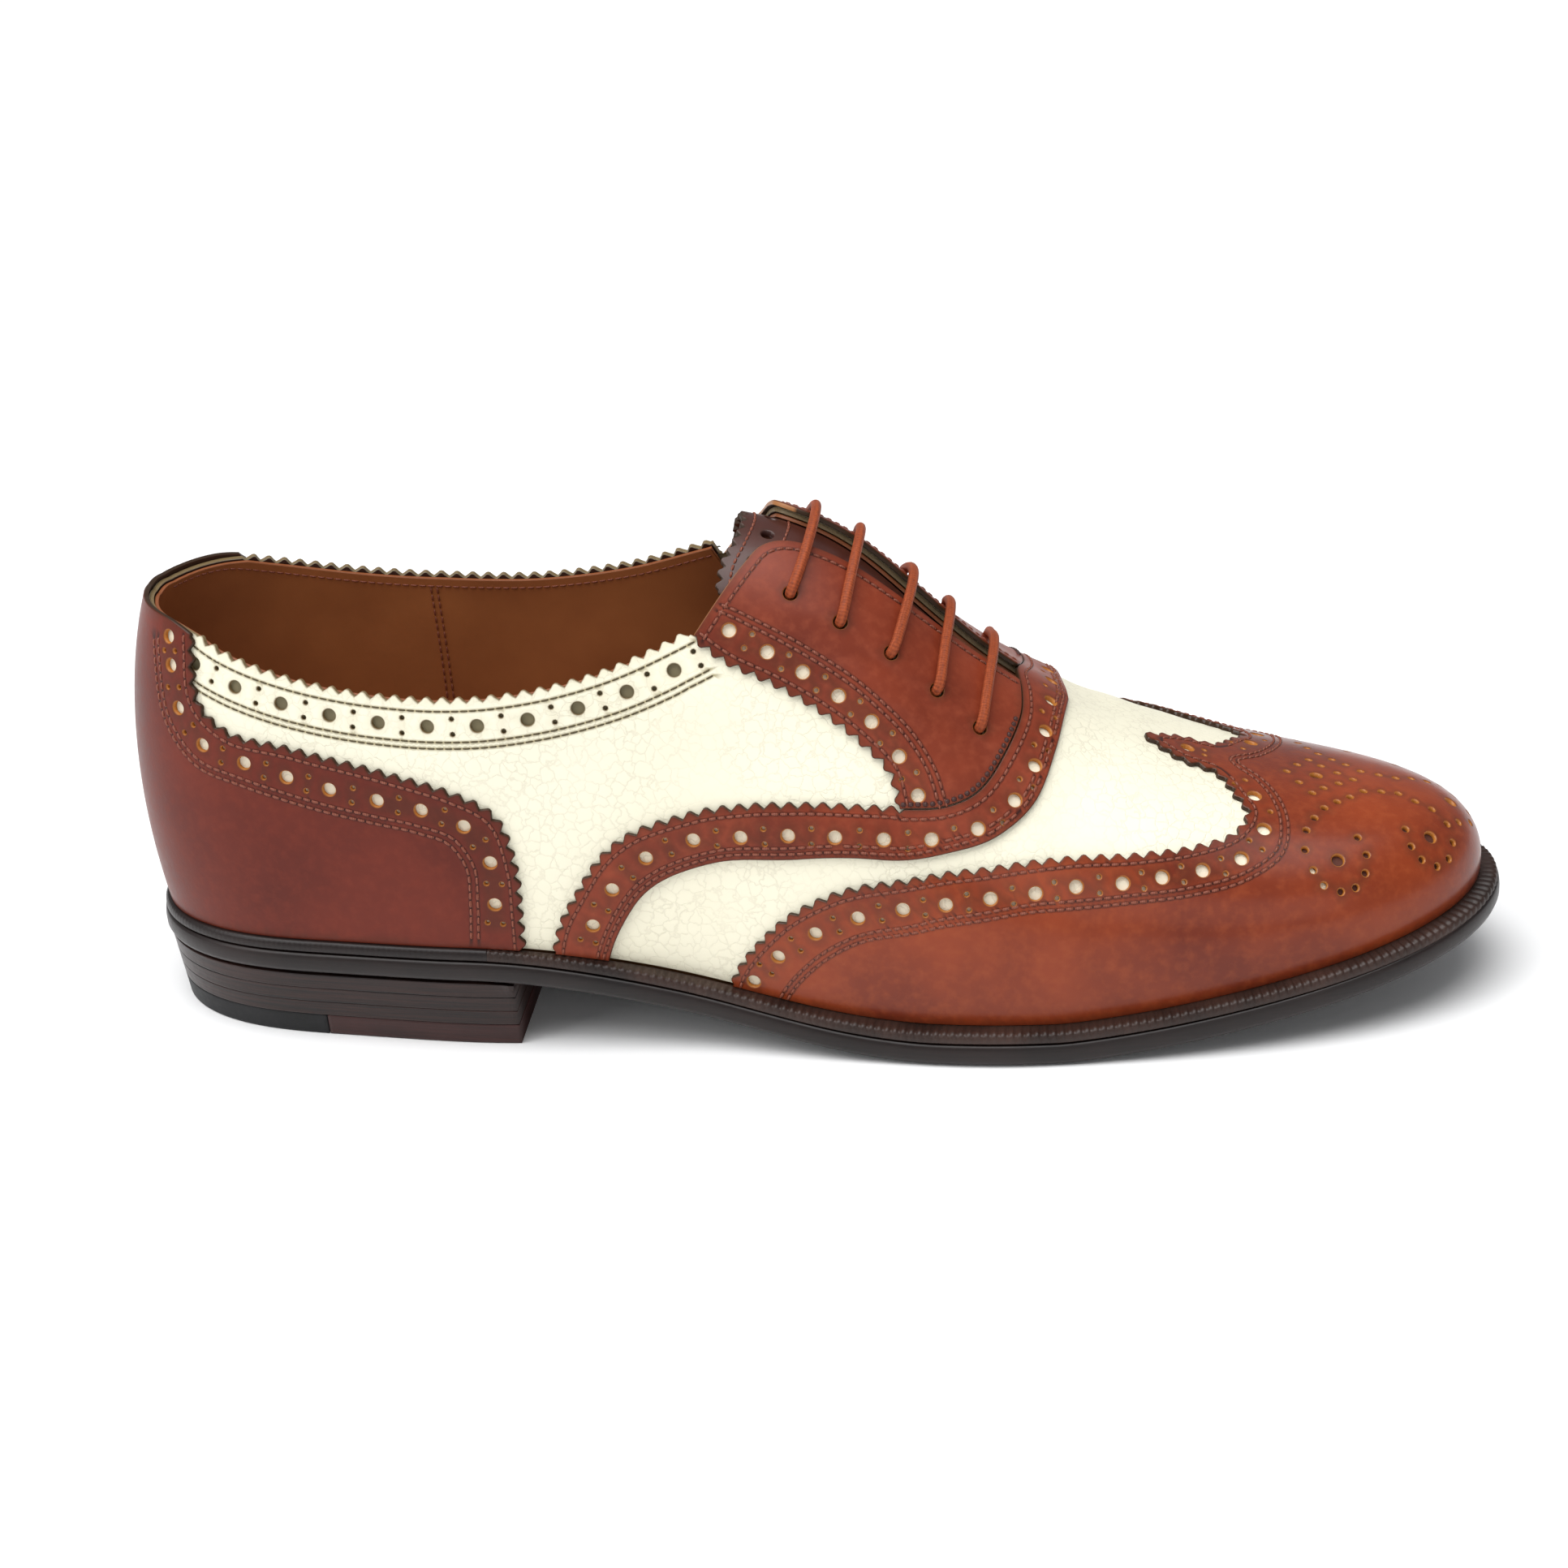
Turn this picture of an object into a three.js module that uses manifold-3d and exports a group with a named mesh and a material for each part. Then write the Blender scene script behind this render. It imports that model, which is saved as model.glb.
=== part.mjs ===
// A two-tone wingtip brogue, right shoe, laced and empty, standing on its sole.
// Millimetres, +X to the toe, +Y to the inner (medial) side, +Z up.
// The origin is on the floor under the middle of the heel.
import * as THREE from 'three';
import { mergeVertices } from 'three/addons/utils/BufferGeometryUtils.js';
import Module from 'manifold-3d';

const wasm = await Module();
wasm.setup();

// Last: the form that the leather is pulled over
const LAST_LENGTH = 286;
const BALL_WIDTH = 90;
const INSTEP_HEIGHT = 90;
const TOE_FAN = 58;
const HEEL_FAN = 70;

// Bottom: sole, welt and heel
const HEEL_HEIGHT = 15.8;
const HEEL_LENGTH = 82;
const TOE_SPRING = 16;
const OUTSOLE_THICK = 5;
const WELT_THICK = 2.7;
const WELT_PROUD = 5;
const WAIST_PROUD = 3.8;
const RAND_PROUD = 2.2;
const HEEL_SET_IN = 0.5;
const SOLE_EDGE_ROUND = 0.9;
const SOLE_STEP = 0.4;
const HEEL_TAPER = 2;
const TOP_LIFT_THICK = 5;
const LIFT_COUNT = 3;
const RUBBER_SHARE = 0.47;
const STRIP_JOIN_BACK = 5;
const WAIST_RUN = 35;

// Where the sole leaves the ground and meets it, as shares of the last's and the heel's length
const TREAD_START = 0.607;
const TREAD_END = 0.691;
const ARCH_OVER_HEEL = 0.13;
const SPRING_BEND = 1.33;

// Leathers
const UPPER_WALL = 2;
const OVERLAY_THICK = 1.1;
const TONGUE_THICK = 1.6;
const INSOLE_THICK = 3;
const LACE_DIAMETER = 2.2;
const CLEAR = 0.3;

// Lacing
const BAR_RISE = 0.65;

// How finely the forms are divided
const STATIONS = 36;
const ROWS = 11;
const LACE_SIDES = 8;
const LACE_STEPS = 12;
const BAR_PART_COUNT = 4;

// Places that follow from the sizes
const HEEL_BACK = -HEEL_LENGTH / 2;
const HEEL_BREAST = HEEL_LENGTH / 2;
const LAST_BACK = HEEL_BACK - HEEL_SET_IN;
const LAST_TOE = LAST_BACK + LAST_LENGTH;
const SOLE_TIP = LAST_TOE + WELT_PROUD;
const TREAD_BACK = LAST_BACK + TREAD_START * LAST_LENGTH;
const TREAD_FRONT = LAST_BACK + TREAD_END * LAST_LENGTH;
const ARCH_BACK = HEEL_BREAST - ARCH_OVER_HEEL * HEEL_LENGTH;
const STRIP_JOIN = HEEL_BREAST - STRIP_JOIN_BACK;

// Depths of the leathers over the last's surface
const OVERLAY_OUT = 2 * CLEAR;
const OVERLAY_IN = OVERLAY_OUT - OVERLAY_THICK;
const OUTER = OVERLAY_IN - CLEAR;
const INNER = OUTER - UPPER_WALL;
const TONGUE_OUT = INNER - CLEAR;
const TONGUE_IN = TONGUE_OUT - TONGUE_THICK;

// Sections of the last. at: share of the length from the heel. lateral, medial: half widths at the
// feather line as shares of the ball width, before rounding the ends. ridge: height over the seat as
// a share of the instep height. The others shape the curve from the feather line up to the ridge.
const SECTIONS = [
  [0.00, 0.650, 0.665, 1.100, 1.10, 1.19, 1.19, 0.940, 0.66],
  [0.06, 0.575, 0.590, 1.100, 1.08, 1.12, 1.12, 0.910, 0.65],
  [0.14, 0.492, 0.500, 1.098, 1.07, 1.06, 1.06, 0.870, 0.65],
  [0.27, 0.443, 0.425, 1.085, 1.05, 1.04, 1.03, 0.845, 0.66],
  [0.42, 0.393, 0.366, 1.065, 1.05, 1.09, 1.09, 0.820, 0.60],
  [0.55, 0.444, 0.443, 1.020, 1.05, 1.11, 1.11, 0.730, 0.42],
  [0.65, 0.490, 0.557, 0.750, 1.05, 1.12, 1.12, 0.760, 0.41],
  [0.74, 0.510, 0.640, 0.552, 1.05, 1.13, 1.13, 0.855, 0.51],
  [0.84, 0.540, 0.670, 0.388, 1.05, 1.10, 1.11, 0.895, 0.55],
  [0.93, 0.585, 0.675, 0.287, 1.05, 1.10, 1.10, 0.925, 0.58],
  [1.00, 0.625, 0.650, 0.233, 1.04, 1.09, 1.09, 0.930, 0.62],
].map(([at, lateral, medial, ridge, flare, hipLateral, hipMedial, shoulder, crown]) => (
  { at, lateral, medial, ridge, flare, hipLateral, hipMedial, shoulder, crown }));

// Heights of the curve's inner control points, as shares of the ridge height
const FLARE_UP = 0.2;
const HIP_UP = 0.48;
const SHOULDER_UP = 0.84;

// Topline. at: share of the length. Heights from the feather line up, as shares of the instep height.
const TOPLINE = [
  { at: 0.000, lateral: 0.820, medial: 0.820 },
  { at: 0.040, lateral: 0.803, medial: 0.815 },
  { at: 0.080, lateral: 0.745, medial: 0.780 },
  { at: 0.140, lateral: 0.684, medial: 0.738 },
  { at: 0.210, lateral: 0.650, medial: 0.708 },
  { at: 0.290, lateral: 0.655, medial: 0.702 },
  { at: 0.370, lateral: 0.742, medial: 0.785 },
  { at: 0.436, lateral: 0.879, medial: 0.915 },
];

// Outlines of the leathers, as rows of [at, girth]. at: share of the length. Girths are shares of the
// instep height, measured down from the ridge line. Those of COUNTER_TOP go up from the feather line.
const FACING_REAR = {
  '-1': [[0.439, 0.370], [0.458, 0.266], [0.474, 0.180], [0.484, 0.130], [0.496, 0.103], [0.511, 0.091]],
  '1': [[0.439, 0.370], [0.458, 0.266], [0.474, 0.180], [0.482, 0.115], [0.490, 0.066], [0.505, 0.045]],
};
const SLIT = {
  '-1': [[0.524, 0.090], [0.575, 0.086], [0.620, 0.067], [0.650, 0.053], [0.666, 0.050]],
  '1': [[0.524, 0.043], [0.575, 0.041], [0.620, 0.038], [0.650, 0.036], [0.666, 0.035]],
};
const FACING_LOW = [
  [0.576, 0.531], [0.556, 0.505], [0.531, 0.481], [0.494, 0.447], [0.462, 0.419], [0.430, 0.372],
];
const THROAT_SEAM = [
  [0.664, 0.000], [0.668, 0.090], [0.668, 0.172], [0.657, 0.302], [0.639, 0.426], [0.614, 0.520],
  [0.583, 0.600],
];
const STRAP_REAR = [
  [0.583, 0.604], [0.549, 0.666], [0.509, 0.714], [0.476, 0.742], [0.442, 0.776], [0.420, 0.812],
  [0.385, 0.885], [0.362, 0.963], [0.342, 1.071], [0.328, 1.160], [0.320, 1.260], [0.315, 1.420],
];
const STRAP_FRONT = [
  [0.350, 1.400], [0.363, 1.212], [0.375, 1.119], [0.393, 1.024], [0.417, 0.953], [0.451, 0.892],
  [0.508, 0.843], [0.573, 0.740], [0.622, 0.601], [0.655, 0.492], [0.679, 0.374], [0.693, 0.213],
  [0.699, 0.070], [0.701, 0.000],
];
const WING_REAR = [
  [0.756, 0.000], [0.783, 0.060], [0.808, 0.075], [0.824, 0.160], [0.831, 0.204], [0.821, 0.277],
  [0.793, 0.339], [0.754, 0.400], [0.698, 0.479], [0.629, 0.632], [0.573, 0.797], [0.527, 0.917],
  [0.496, 1.006], [0.477, 1.078], [0.464, 1.137], [0.453, 1.209], [0.440, 1.500],
];
const COUNTER_TOP = [
  [0.296, -0.100], [0.299, 0.126], [0.299, 0.245], [0.288, 0.365], [0.257, 0.422], [0.208, 0.467],
  [0.142, 0.515], [0.088, 0.551], [0.064, 0.620], [0.055, 0.850],
];
const TONGUE_SIDE = [
  [0.470, 0.000], [0.466, 0.090], [0.459, 0.170], [0.456, 0.250], [0.476, 0.292], [0.550, 0.300],
  [0.650, 0.250], [0.682, 0.160], [0.690, 0.000],
];
const FACING_BEHIND_SHARE = 0.41;

// Eyelet pairs. lean is how far the lace bows forward between them, in millimetres.
const EYELETS = [
  { at: 0.507, lateral: 0.230, medial: 0.180, lean: 3.0 },
  { at: 0.542, lateral: 0.255, medial: 0.205, lean: 1.6 },
  { at: 0.577, lateral: 0.255, medial: 0.205, lean: 2.2 },
  { at: 0.609, lateral: 0.260, medial: 0.212, lean: 0.6 },
  { at: 0.639, lateral: 0.276, medial: 0.240, lean: 1.0 },
];

// A smooth curve through one column of a table
function smooth(table, column, at) {
  const last = table.length - 1;
  const slope = (i) => (table[i + 1][column] - table[i][column]) / (table[i + 1].at - table[i].at);
  const span = (i) => table[i + 1].at - table[i].at;
  const tangent = (i) => {
    if (i === 0) return slope(0);
    if (i === last) return slope(last - 1);
    return (slope(i - 1) * span(i) + slope(i) * span(i - 1)) / (span(i) + span(i - 1));
  };
  const x = THREE.MathUtils.clamp(at, table[0].at, table[last].at);
  let i = 0;
  while (i < last - 1 && x > table[i + 1].at) i++;
  const u = (x - table[i].at) / span(i);
  const rise = table[i + 1][column] - table[i][column];
  const h = span(i);
  return table[i][column] + u * h * tangent(i)
    + u * u * (3 * rise - h * (2 * tangent(i) + tangent(i + 1)))
    + u * u * u * (h * (tangent(i) + tangent(i + 1)) - 2 * rise);
}

// The underside of the outsole: level heel seat, arch, flat tread and toe spring
function soleZ(x) {
  const arch = THREE.MathUtils.smoothstep(x, ARCH_BACK, TREAD_BACK);
  const spring = THREE.MathUtils.clamp((x - TREAD_FRONT) / (SOLE_TIP - TREAD_FRONT), 0, 1);
  return HEEL_HEIGHT * (1 - arch) + TOE_SPRING * spring ** SPRING_BEND;
}

const seatZ = (x) => soleZ(x) + OUTSOLE_THICK + CLEAR;

// Where the section that starts at x on the feather line meets the ridge line. Sections fan out
// round the toe and round the heel.
function ridgeX(x) {
  const toeStart = LAST_TOE - TOE_FAN;
  const heelStart = LAST_BACK + HEEL_FAN;
  if (x > toeStart) return x - (x - toeStart) ** 2 / (2 * TOE_FAN);
  if (x < heelStart) return x + (heelStart - x) ** 2 / (2 * HEEL_FAN);
  return x;
}

const shareAt = (x) => (x - LAST_BACK) / LAST_LENGTH;
const ridgeZ = (x) => seatZ(x) + INSTEP_HEIGHT * smooth(SECTIONS, 'ridge', shareAt(x));

// The feather line, where the upper meets the sole. side is -1 lateral, 1 medial.
function feather(at, side) {
  const column = side < 0 ? 'lateral' : 'medial';
  const roundEnds = 2 * Math.sqrt(Math.max(at * (1 - at), 0));
  return new THREE.Vector2(LAST_BACK + LAST_LENGTH * at,
    side * roundEnds * BALL_WIDTH * smooth(SECTIONS, column, at));
}

const choose = [1, 5, 10, 10, 5, 1];
const SLOPE_STEP = 0.05;

// A point of the last: q goes from 0 at the feather line to 1 at the ridge
function lastPoint(at, side, q) {
  const foot = feather(at, side);
  const top = ridgeX(foot.x);
  const ridge = ridgeZ(top);
  const slope = (ridgeZ(top + SLOPE_STEP) - ridgeZ(top - SLOPE_STEP)) / (2 * SLOPE_STEP);
  const seat = seatZ(foot.x);
  const rise = ridge - seat;
  const reach = foot.x - top;
  const crown = smooth(SECTIONS, 'crown', at);
  const hip = smooth(SECTIONS, side < 0 ? 'hipLateral' : 'hipMedial', at);
  const across = [1, smooth(SECTIONS, 'flare', at), hip, smooth(SECTIONS, 'shoulder', at), crown, 0];
  const up = [0, FLARE_UP * rise, HIP_UP * rise, SHOULDER_UP * rise, rise + slope * crown * reach, rise];
  const point = new THREE.Vector3();
  for (let k = 0; k <= 5; k++) {
    const weight = choose[k] * (1 - q) ** (5 - k) * q ** k;
    point.x += weight * (top + across[k] * reach);
    point.y += weight * across[k] * foot.y;
    point.z += weight * (seat + up[k]);
  }
  return point;
}

// Outward normal of the last
function lastNormal(at, side, q) {
  const step = 0.004;
  const t0 = Math.max(at - step, 0.001);
  const t1 = Math.min(at + step, 0.999);
  const q0 = Math.max(q - step, 0);
  const q1 = Math.min(q + step, 1);
  const along = lastPoint(t1, side, q).sub(lastPoint(t0, side, q));
  const up = lastPoint(at, side, q1).sub(lastPoint(at, side, q0));
  const normal = side < 0 ? along.cross(up) : up.cross(along);
  if (q > 0.999) normal.y = 0;
  if (at < 0.001 || at > 0.999) normal.y = 0;
  return normal.normalize();
}

// The grid that every leather is taken from. Each node knows its place on the last, its normal, and
// its place on the flat pattern, where the ridge is a straight line and girths keep their length.
const shares = Array.from({ length: STATIONS + 1 },
  (_, i) => 0.5 - 0.5 * Math.cos((Math.PI * i) / STATIONS));

function sectionGirths(at, side) {
  const fine = 10 * ROWS;
  const girth = [0];
  let before = lastPoint(at, side, 0);
  for (let k = 1; k <= fine; k++) {
    const next = lastPoint(at, side, k / fine);
    girth.push(girth[k - 1] + next.distanceTo(before));
    before = next;
  }
  return girth;
}

function flatDirection(at, side) {
  const foot = feather(at, side);
  return new THREE.Vector2(foot.x - ridgeX(foot.x), foot.y).normalize();
}

// Flat pattern place of a girth measured down from the ridge or up from the feather line
function flatDown(at, side, down) {
  const way = flatDirection(at, side);
  return new THREE.Vector2(ridgeX(feather(at, side).x) + way.x * down, way.y * down);
}

function flatUp(at, side, up) {
  const girth = sectionGirths(at, side);
  return flatDown(at, side, girth[girth.length - 1] - up);
}

const POLE_GAP = 0.4;

function buildGrid() {
  const nodes = [];
  const add = (at, side, q) => {
    const girth = sectionGirths(at, side);
    const down = girth[girth.length - 1] - girth[Math.round(q * (girth.length - 1))];
    const [place, normal] = [lastPoint(at, side, q), lastNormal(at, side, q)];
    nodes.push({ flat: flatDown(at, side, down), place, normal });
    return nodes.length - 1;
  };
  const ridge = shares.map((at) => add(at, -1, 1));
  const rows = { '-1': [], '1': [] };
  shares.forEach((at, i) => {
    for (const side of [-1, 1]) {
      const shared = side > 0 && (i === 0 || i === STATIONS);
      const column = [];
      for (let j = 0; j < ROWS; j++) {
        column.push(shared ? rows['-1'][i][j] : add(at, side, j / ROWS));
      }
      column.push(ridge[i]);
      rows[side].push(column);
    }
  });
  const faces = [];
  const face = (a, b, c) => {
    const flats = [a, b, c].map((n) => nodes[n].flat);
    const area = (flats[1].x - flats[0].x) * (flats[2].y - flats[0].y)
      - (flats[2].x - flats[0].x) * (flats[1].y - flats[0].y);
    if (area !== 0) faces.push(area > 0 ? [a, b, c] : [a, c, b]);
  };
  // Near the two ends of the ridge the sections meet almost in one point
  for (const end of [0, STATIONS]) {
    const step = end === 0 ? 1 : -1;
    for (let i = end + step; nodes[ridge[i]].flat.distanceTo(nodes[ridge[end]].flat) < POLE_GAP; i += step) {
      rows['-1'][i][ROWS] = ridge[end];
      rows['1'][i][ROWS] = ridge[end];
    }
  }
  for (let i = 0; i < STATIONS; i++) {
    for (let j = 0; j < ROWS; j++) {
      for (const side of [-1, 1]) {
        const a = rows[side][i][j];
        const b = rows[side][i + 1][j];
        const c = rows[side][i + 1][j + 1];
        const d = rows[side][i][j + 1];
        face(a, b, c);
        if (c !== d) face(a, c, d);
      }
    }
  }
  const rim = [...shares.keys()].map((i) => rows['-1'][i][0])
    .concat([...shares.keys()].reverse().slice(1, -1).map((i) => rows['1'][i][0]));
  return { nodes, faces, rim };
}

const grid = buildGrid();

// Solids of manifold-3d from and to three.js geometry
function toSolid(geometry) {
  const plain = geometry.clone();
  plain.deleteAttribute('normal');
  plain.deleteAttribute('uv');
  const merged = mergeVertices(plain, 1e-4);
  return new wasm.Manifold(new wasm.Mesh({
    numProp: 3,
    vertProperties: new Float32Array(merged.attributes.position.array),
    triVerts: new Uint32Array(merged.index.array),
  }));
}

function fromPoints(points, triangles) {
  const geometry = new THREE.BufferGeometry();
  geometry.setAttribute('position', new THREE.Float32BufferAttribute(points, 3));
  geometry.setIndex(triangles);
  return geometry;
}

// The whole pattern as a slab over the flat pattern. It is bowed, so that no two of its faces lie in
// one plane and every grid node survives a cut.
const SLAB_HALF = 20;
const SLAB_BOW = 0.01;
const bow = (x, y) => SLAB_BOW * (x * x + y * y);

function patternSlab() {
  const count = grid.nodes.length;
  const points = [];
  for (const level of [-SLAB_HALF, SLAB_HALF]) {
    for (const { flat } of grid.nodes) points.push(flat.x, flat.y, bow(flat.x, flat.y) + level);
  }
  const triangles = [];
  for (const [a, b, c] of grid.faces) {
    triangles.push(a + count, b + count, c + count);
    triangles.push(a, c, b);
  }
  grid.rim.forEach((a, k) => {
    const b = grid.rim[(k + 1) % grid.rim.length];
    triangles.push(a, b, b + count, a, b + count, a + count);
  });
  const plain = fromPoints(points, triangles).toNonIndexed();
  return toSolid(plain);
}

const slab = patternSlab();
const CUT_LOW = -400;
const CUT_HIGH = 3000;

// A cutter standing on a closed outline of the flat pattern
function cutter(outline) {
  const shape = new THREE.Shape(outline);
  const block = new THREE.ExtrudeGeometry(shape, { depth: CUT_HIGH - CUT_LOW, bevelEnabled: false });
  block.translate(0, 0, CUT_LOW);
  return toSolid(block);
}

// Maps what is left of the slab to a leather between two depths from the last
function leather(solid, innerDepth, outerDepth) {
  const mesh = solid.getMesh();
  const points = [];
  const spot = new THREE.Vector3();
  for (let v = 0; v < mesh.vertProperties.length; v += mesh.numProp) {
    const x = mesh.vertProperties[v];
    const y = mesh.vertProperties[v + 1];
    const outer = mesh.vertProperties[v + 2] - bow(x, y) > 0;
    placeOnLast(x, y, outer ? outerDepth : innerDepth, spot);
    points.push(spot.x, spot.y, spot.z);
  }
  return fromPoints(points, [...mesh.triVerts]);
}

function placeOnLast(x, y, depth, spot) {
  let best = -Infinity;
  let found = null;
  for (const face of grid.faces) {
    const [a, b, c] = face.map((n) => grid.nodes[n].flat);
    const whole = (b.x - a.x) * (c.y - a.y) - (c.x - a.x) * (b.y - a.y);
    const wb = ((x - a.x) * (c.y - a.y) - (c.x - a.x) * (y - a.y)) / whole;
    const wc = ((b.x - a.x) * (y - a.y) - (x - a.x) * (b.y - a.y)) / whole;
    const least = Math.min(1 - wb - wc, wb, wc);
    if (least > best) {
      best = least;
      found = { face, weights: [1 - wb - wc, wb, wc] };
      if (best > 1e-6) break;
    }
  }
  spot.set(0, 0, 0);
  found.face.forEach((n, k) => {
    const { place, normal } = grid.nodes[n];
    spot.addScaledVector(place, found.weights[k]);
    spot.addScaledVector(normal, found.weights[k] * depth);
  });
  return spot;
}

// A flat place measured along the ridge line and square to it
const flatRidge = (at, side, down) => new THREE.Vector2(LAST_BACK + at * LAST_LENGTH, side * down);

// Outline helpers: one side's chain of points from a table
const chain = (table, side) => table.map(([at, down]) => flatRidge(at, side, down * INSTEP_HEIGHT));
const rising = (table, side) => table.map(([at, up]) => flatUp(at, side, up * INSTEP_HEIGHT));
const FAR = 500;
const COUNTER_INSIDE_SHARE = 0.56;

// The mouth of the shoe: topline, facing ends and the slit between the facings
function mouthSide(side) {
  const topline = TOPLINE.map((row) => [row.at, row[side < 0 ? 'lateral' : 'medial']]);
  return rising(topline, side).concat(chain(FACING_REAR[side], side), chain(SLIT[side], side));
}

const mouth = cutter(mouthSide(-1).concat(mouthSide(1).reverse().slice(0, -1)));

// Everything of the pattern that lies above the welt
const aboveWelt = cutter(shares.map((at) => flatUp(at, -1, WELT_THICK + 2 * CLEAR))
  .concat(shares.map((at) => flatUp(at, 1, WELT_THICK + 2 * CLEAR)).reverse().slice(1, -1)));

const overlaySlab = slab.subtract(mouth).intersect(aboveWelt);
const overlay = (outline) => leather(overlaySlab.intersect(cutter(outline)), OVERLAY_IN, OVERLAY_OUT);

function upper() {
  return leather(slab.subtract(mouth), INNER, OUTER);
}

// The counter goes round the heel, so its outline is its top edge, closed far behind the heel
function counter() {
  const [[front]] = COUNTER_TOP;
  const far = [[front, 1], [front, -1]].map(([at, side]) => flatRidge(at, side, FAR));
  const round = [far[0], new THREE.Vector2(-FAR, FAR), new THREE.Vector2(-FAR, -FAR), far[1]];
  const inside = [new THREE.Vector2(LAST_BACK + HEEL_FAN * COUNTER_INSIDE_SHARE, 0)];
  return overlay(rising(COUNTER_TOP, -1).concat(inside, rising(COUNTER_TOP, 1).reverse(), round));
}

function vampStrap() {
  const half = (side) => chain(THROAT_SEAM.slice(1), side).concat(chain(STRAP_REAR, side));
  const rear = half(-1).reverse().concat(chain(THROAT_SEAM.slice(0, 1), 1), half(1));
  const front = chain(STRAP_FRONT, 1).concat(chain(STRAP_FRONT.slice(0, -1), -1).reverse());
  return overlay(rear.concat(front));
}

function toeWing() {
  const round = [new THREE.Vector2(FAR, FAR), new THREE.Vector2(FAR, -FAR)];
  const rear = chain(WING_REAR, -1).reverse().concat(chain(WING_REAR.slice(1), 1));
  return overlay(rear.concat(round));
}

function facing(side) {
  const gap = CLEAR / LAST_LENGTH;
  const seam = chain(THROAT_SEAM.map(([at, down]) => [at - gap, down]), side);
  const rear = [[FACING_BEHIND_SHARE, FACING_LOW.at(-1)[1] / 2], [FACING_BEHIND_SHARE, 0]];
  return overlay(seam.concat(chain(FACING_LOW, side), chain(rear, side)));
}

function tongue() {
  const outline = chain(TONGUE_SIDE, -1).concat(chain(TONGUE_SIDE.slice(1, -1), 1).reverse());
  return leather(slab.intersect(cutter(outline)), TONGUE_IN, TONGUE_OUT);
}

// Lace bars lie across the slit from eyelet to eyelet
function laceBar({ at, lateral, medial, lean }) {
  const depth = OVERLAY_OUT + CLEAR + LACE_DIAMETER / 2;
  const route = [];
  for (let k = -BAR_PART_COUNT; k <= BAR_PART_COUNT; k++) {
    const share = k / BAR_PART_COUNT;
    const inward = 1 - share ** 2;
    const across = ((medial - lateral + share * (medial + lateral)) / 2) * INSTEP_HEIGHT;
    const x = LAST_BACK + at * LAST_LENGTH + lean * inward;
    route.push(placeOnLast(x, across, depth + BAR_RISE * inward, new THREE.Vector3()));
  }
  const section = new THREE.Shape();
  for (let k = 0; k < LACE_SIDES; k++) {
    const angle = (2 * Math.PI * k) / LACE_SIDES;
    const x = (LACE_DIAMETER / 2) * Math.cos(angle);
    const y = (LACE_DIAMETER / 2) * Math.sin(angle);
    if (k === 0) section.moveTo(x, y);
    else section.lineTo(x, y);
  }
  section.closePath();
  const path = new THREE.CatmullRomCurve3(route);
  return new THREE.ExtrudeGeometry(section, { steps: LACE_STEPS, extrudePath: path, curveSegments: 1 });
}

// Plan outlines of the bottom pieces, offset out from the feather line at the same stations
function proudAt(x) {
  const waist = THREE.MathUtils.smoothstep(x, STRIP_JOIN, HEEL_BREAST + WAIST_RUN);
  const forepart = THREE.MathUtils.smoothstep(x, HEEL_BREAST + WAIST_RUN, TREAD_BACK);
  return RAND_PROUD + (WAIST_PROUD - RAND_PROUD) * waist + (WELT_PROUD - WAIST_PROUD) * forepart;
}

function planOutline(base, offset) {
  const line = base.map(({ at, side }) => feather(at, side));
  const count = line.length;
  return line.map((point, k) => {
    const before = line[(k + count - 1) % count];
    const after = line[(k + 1) % count];
    const way = after.clone().sub(before).normalize();
    const out = typeof offset === 'function' ? offset(point.x) : offset;
    return new THREE.Vector2(point.x + way.y * out, point.y - way.x * out);
  });
}

// Stations once round the shoe: heel back, lateral side, toe, medial side
const ring = shares.map((at) => ({ at, side: -1 }))
  .concat(shares.slice(1, -1).reverse().map((at) => ({ at, side: 1 })));

// A solid from stacked copies of one outline, each with its own heights
function stack(levels) {
  const count = levels[0].outline.length;
  const points = [];
  for (const { outline, z } of levels) {
    for (const p of outline) points.push(p.x, p.y, z(p.x));
  }
  const triangles = [];
  for (let level = 0; level < levels.length - 1; level++) {
    for (let k = 0; k < count; k++) {
      const a = level * count + k;
      const b = level * count + ((k + 1) % count);
      triangles.push(a, b, b + count, a, b + count, a + count);
    }
  }
  const cap = (base, up) => {
    for (let k = 0; k < count / 2; k++) {
      const [a, b] = [base + k, base + k + 1];
      const [c, d] = [base + count - k - 1, base + ((count - k) % count)];
      if (b !== c) addFace(triangles, a, b, c, up);
      if (a !== d) addFace(triangles, a, c, d, up);
    }
  };
  cap(0, false);
  cap((levels.length - 1) * count, true);
  return fromPoints(points, triangles);
}

function addFace(triangles, a, b, c, up) {
  if (up) triangles.push(a, b, c);
  else triangles.push(a, c, b);
}

const outsoleOutline = planOutline(ring, proudAt);

function outsole() {
  const inset = planOutline(ring, (x) => proudAt(x) - SOLE_EDGE_ROUND);
  const edge = planOutline(ring, (x) => proudAt(x) + SOLE_STEP);
  return stack([
    { outline: inset, z: (x) => soleZ(x) },
    { outline: edge, z: (x) => soleZ(x) + SOLE_EDGE_ROUND },
    { outline: edge, z: (x) => soleZ(x) + OUTSOLE_THICK - SOLE_STEP },
    { outline: outsoleOutline, z: (x) => soleZ(x) + OUTSOLE_THICK },
  ]);
}

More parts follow.
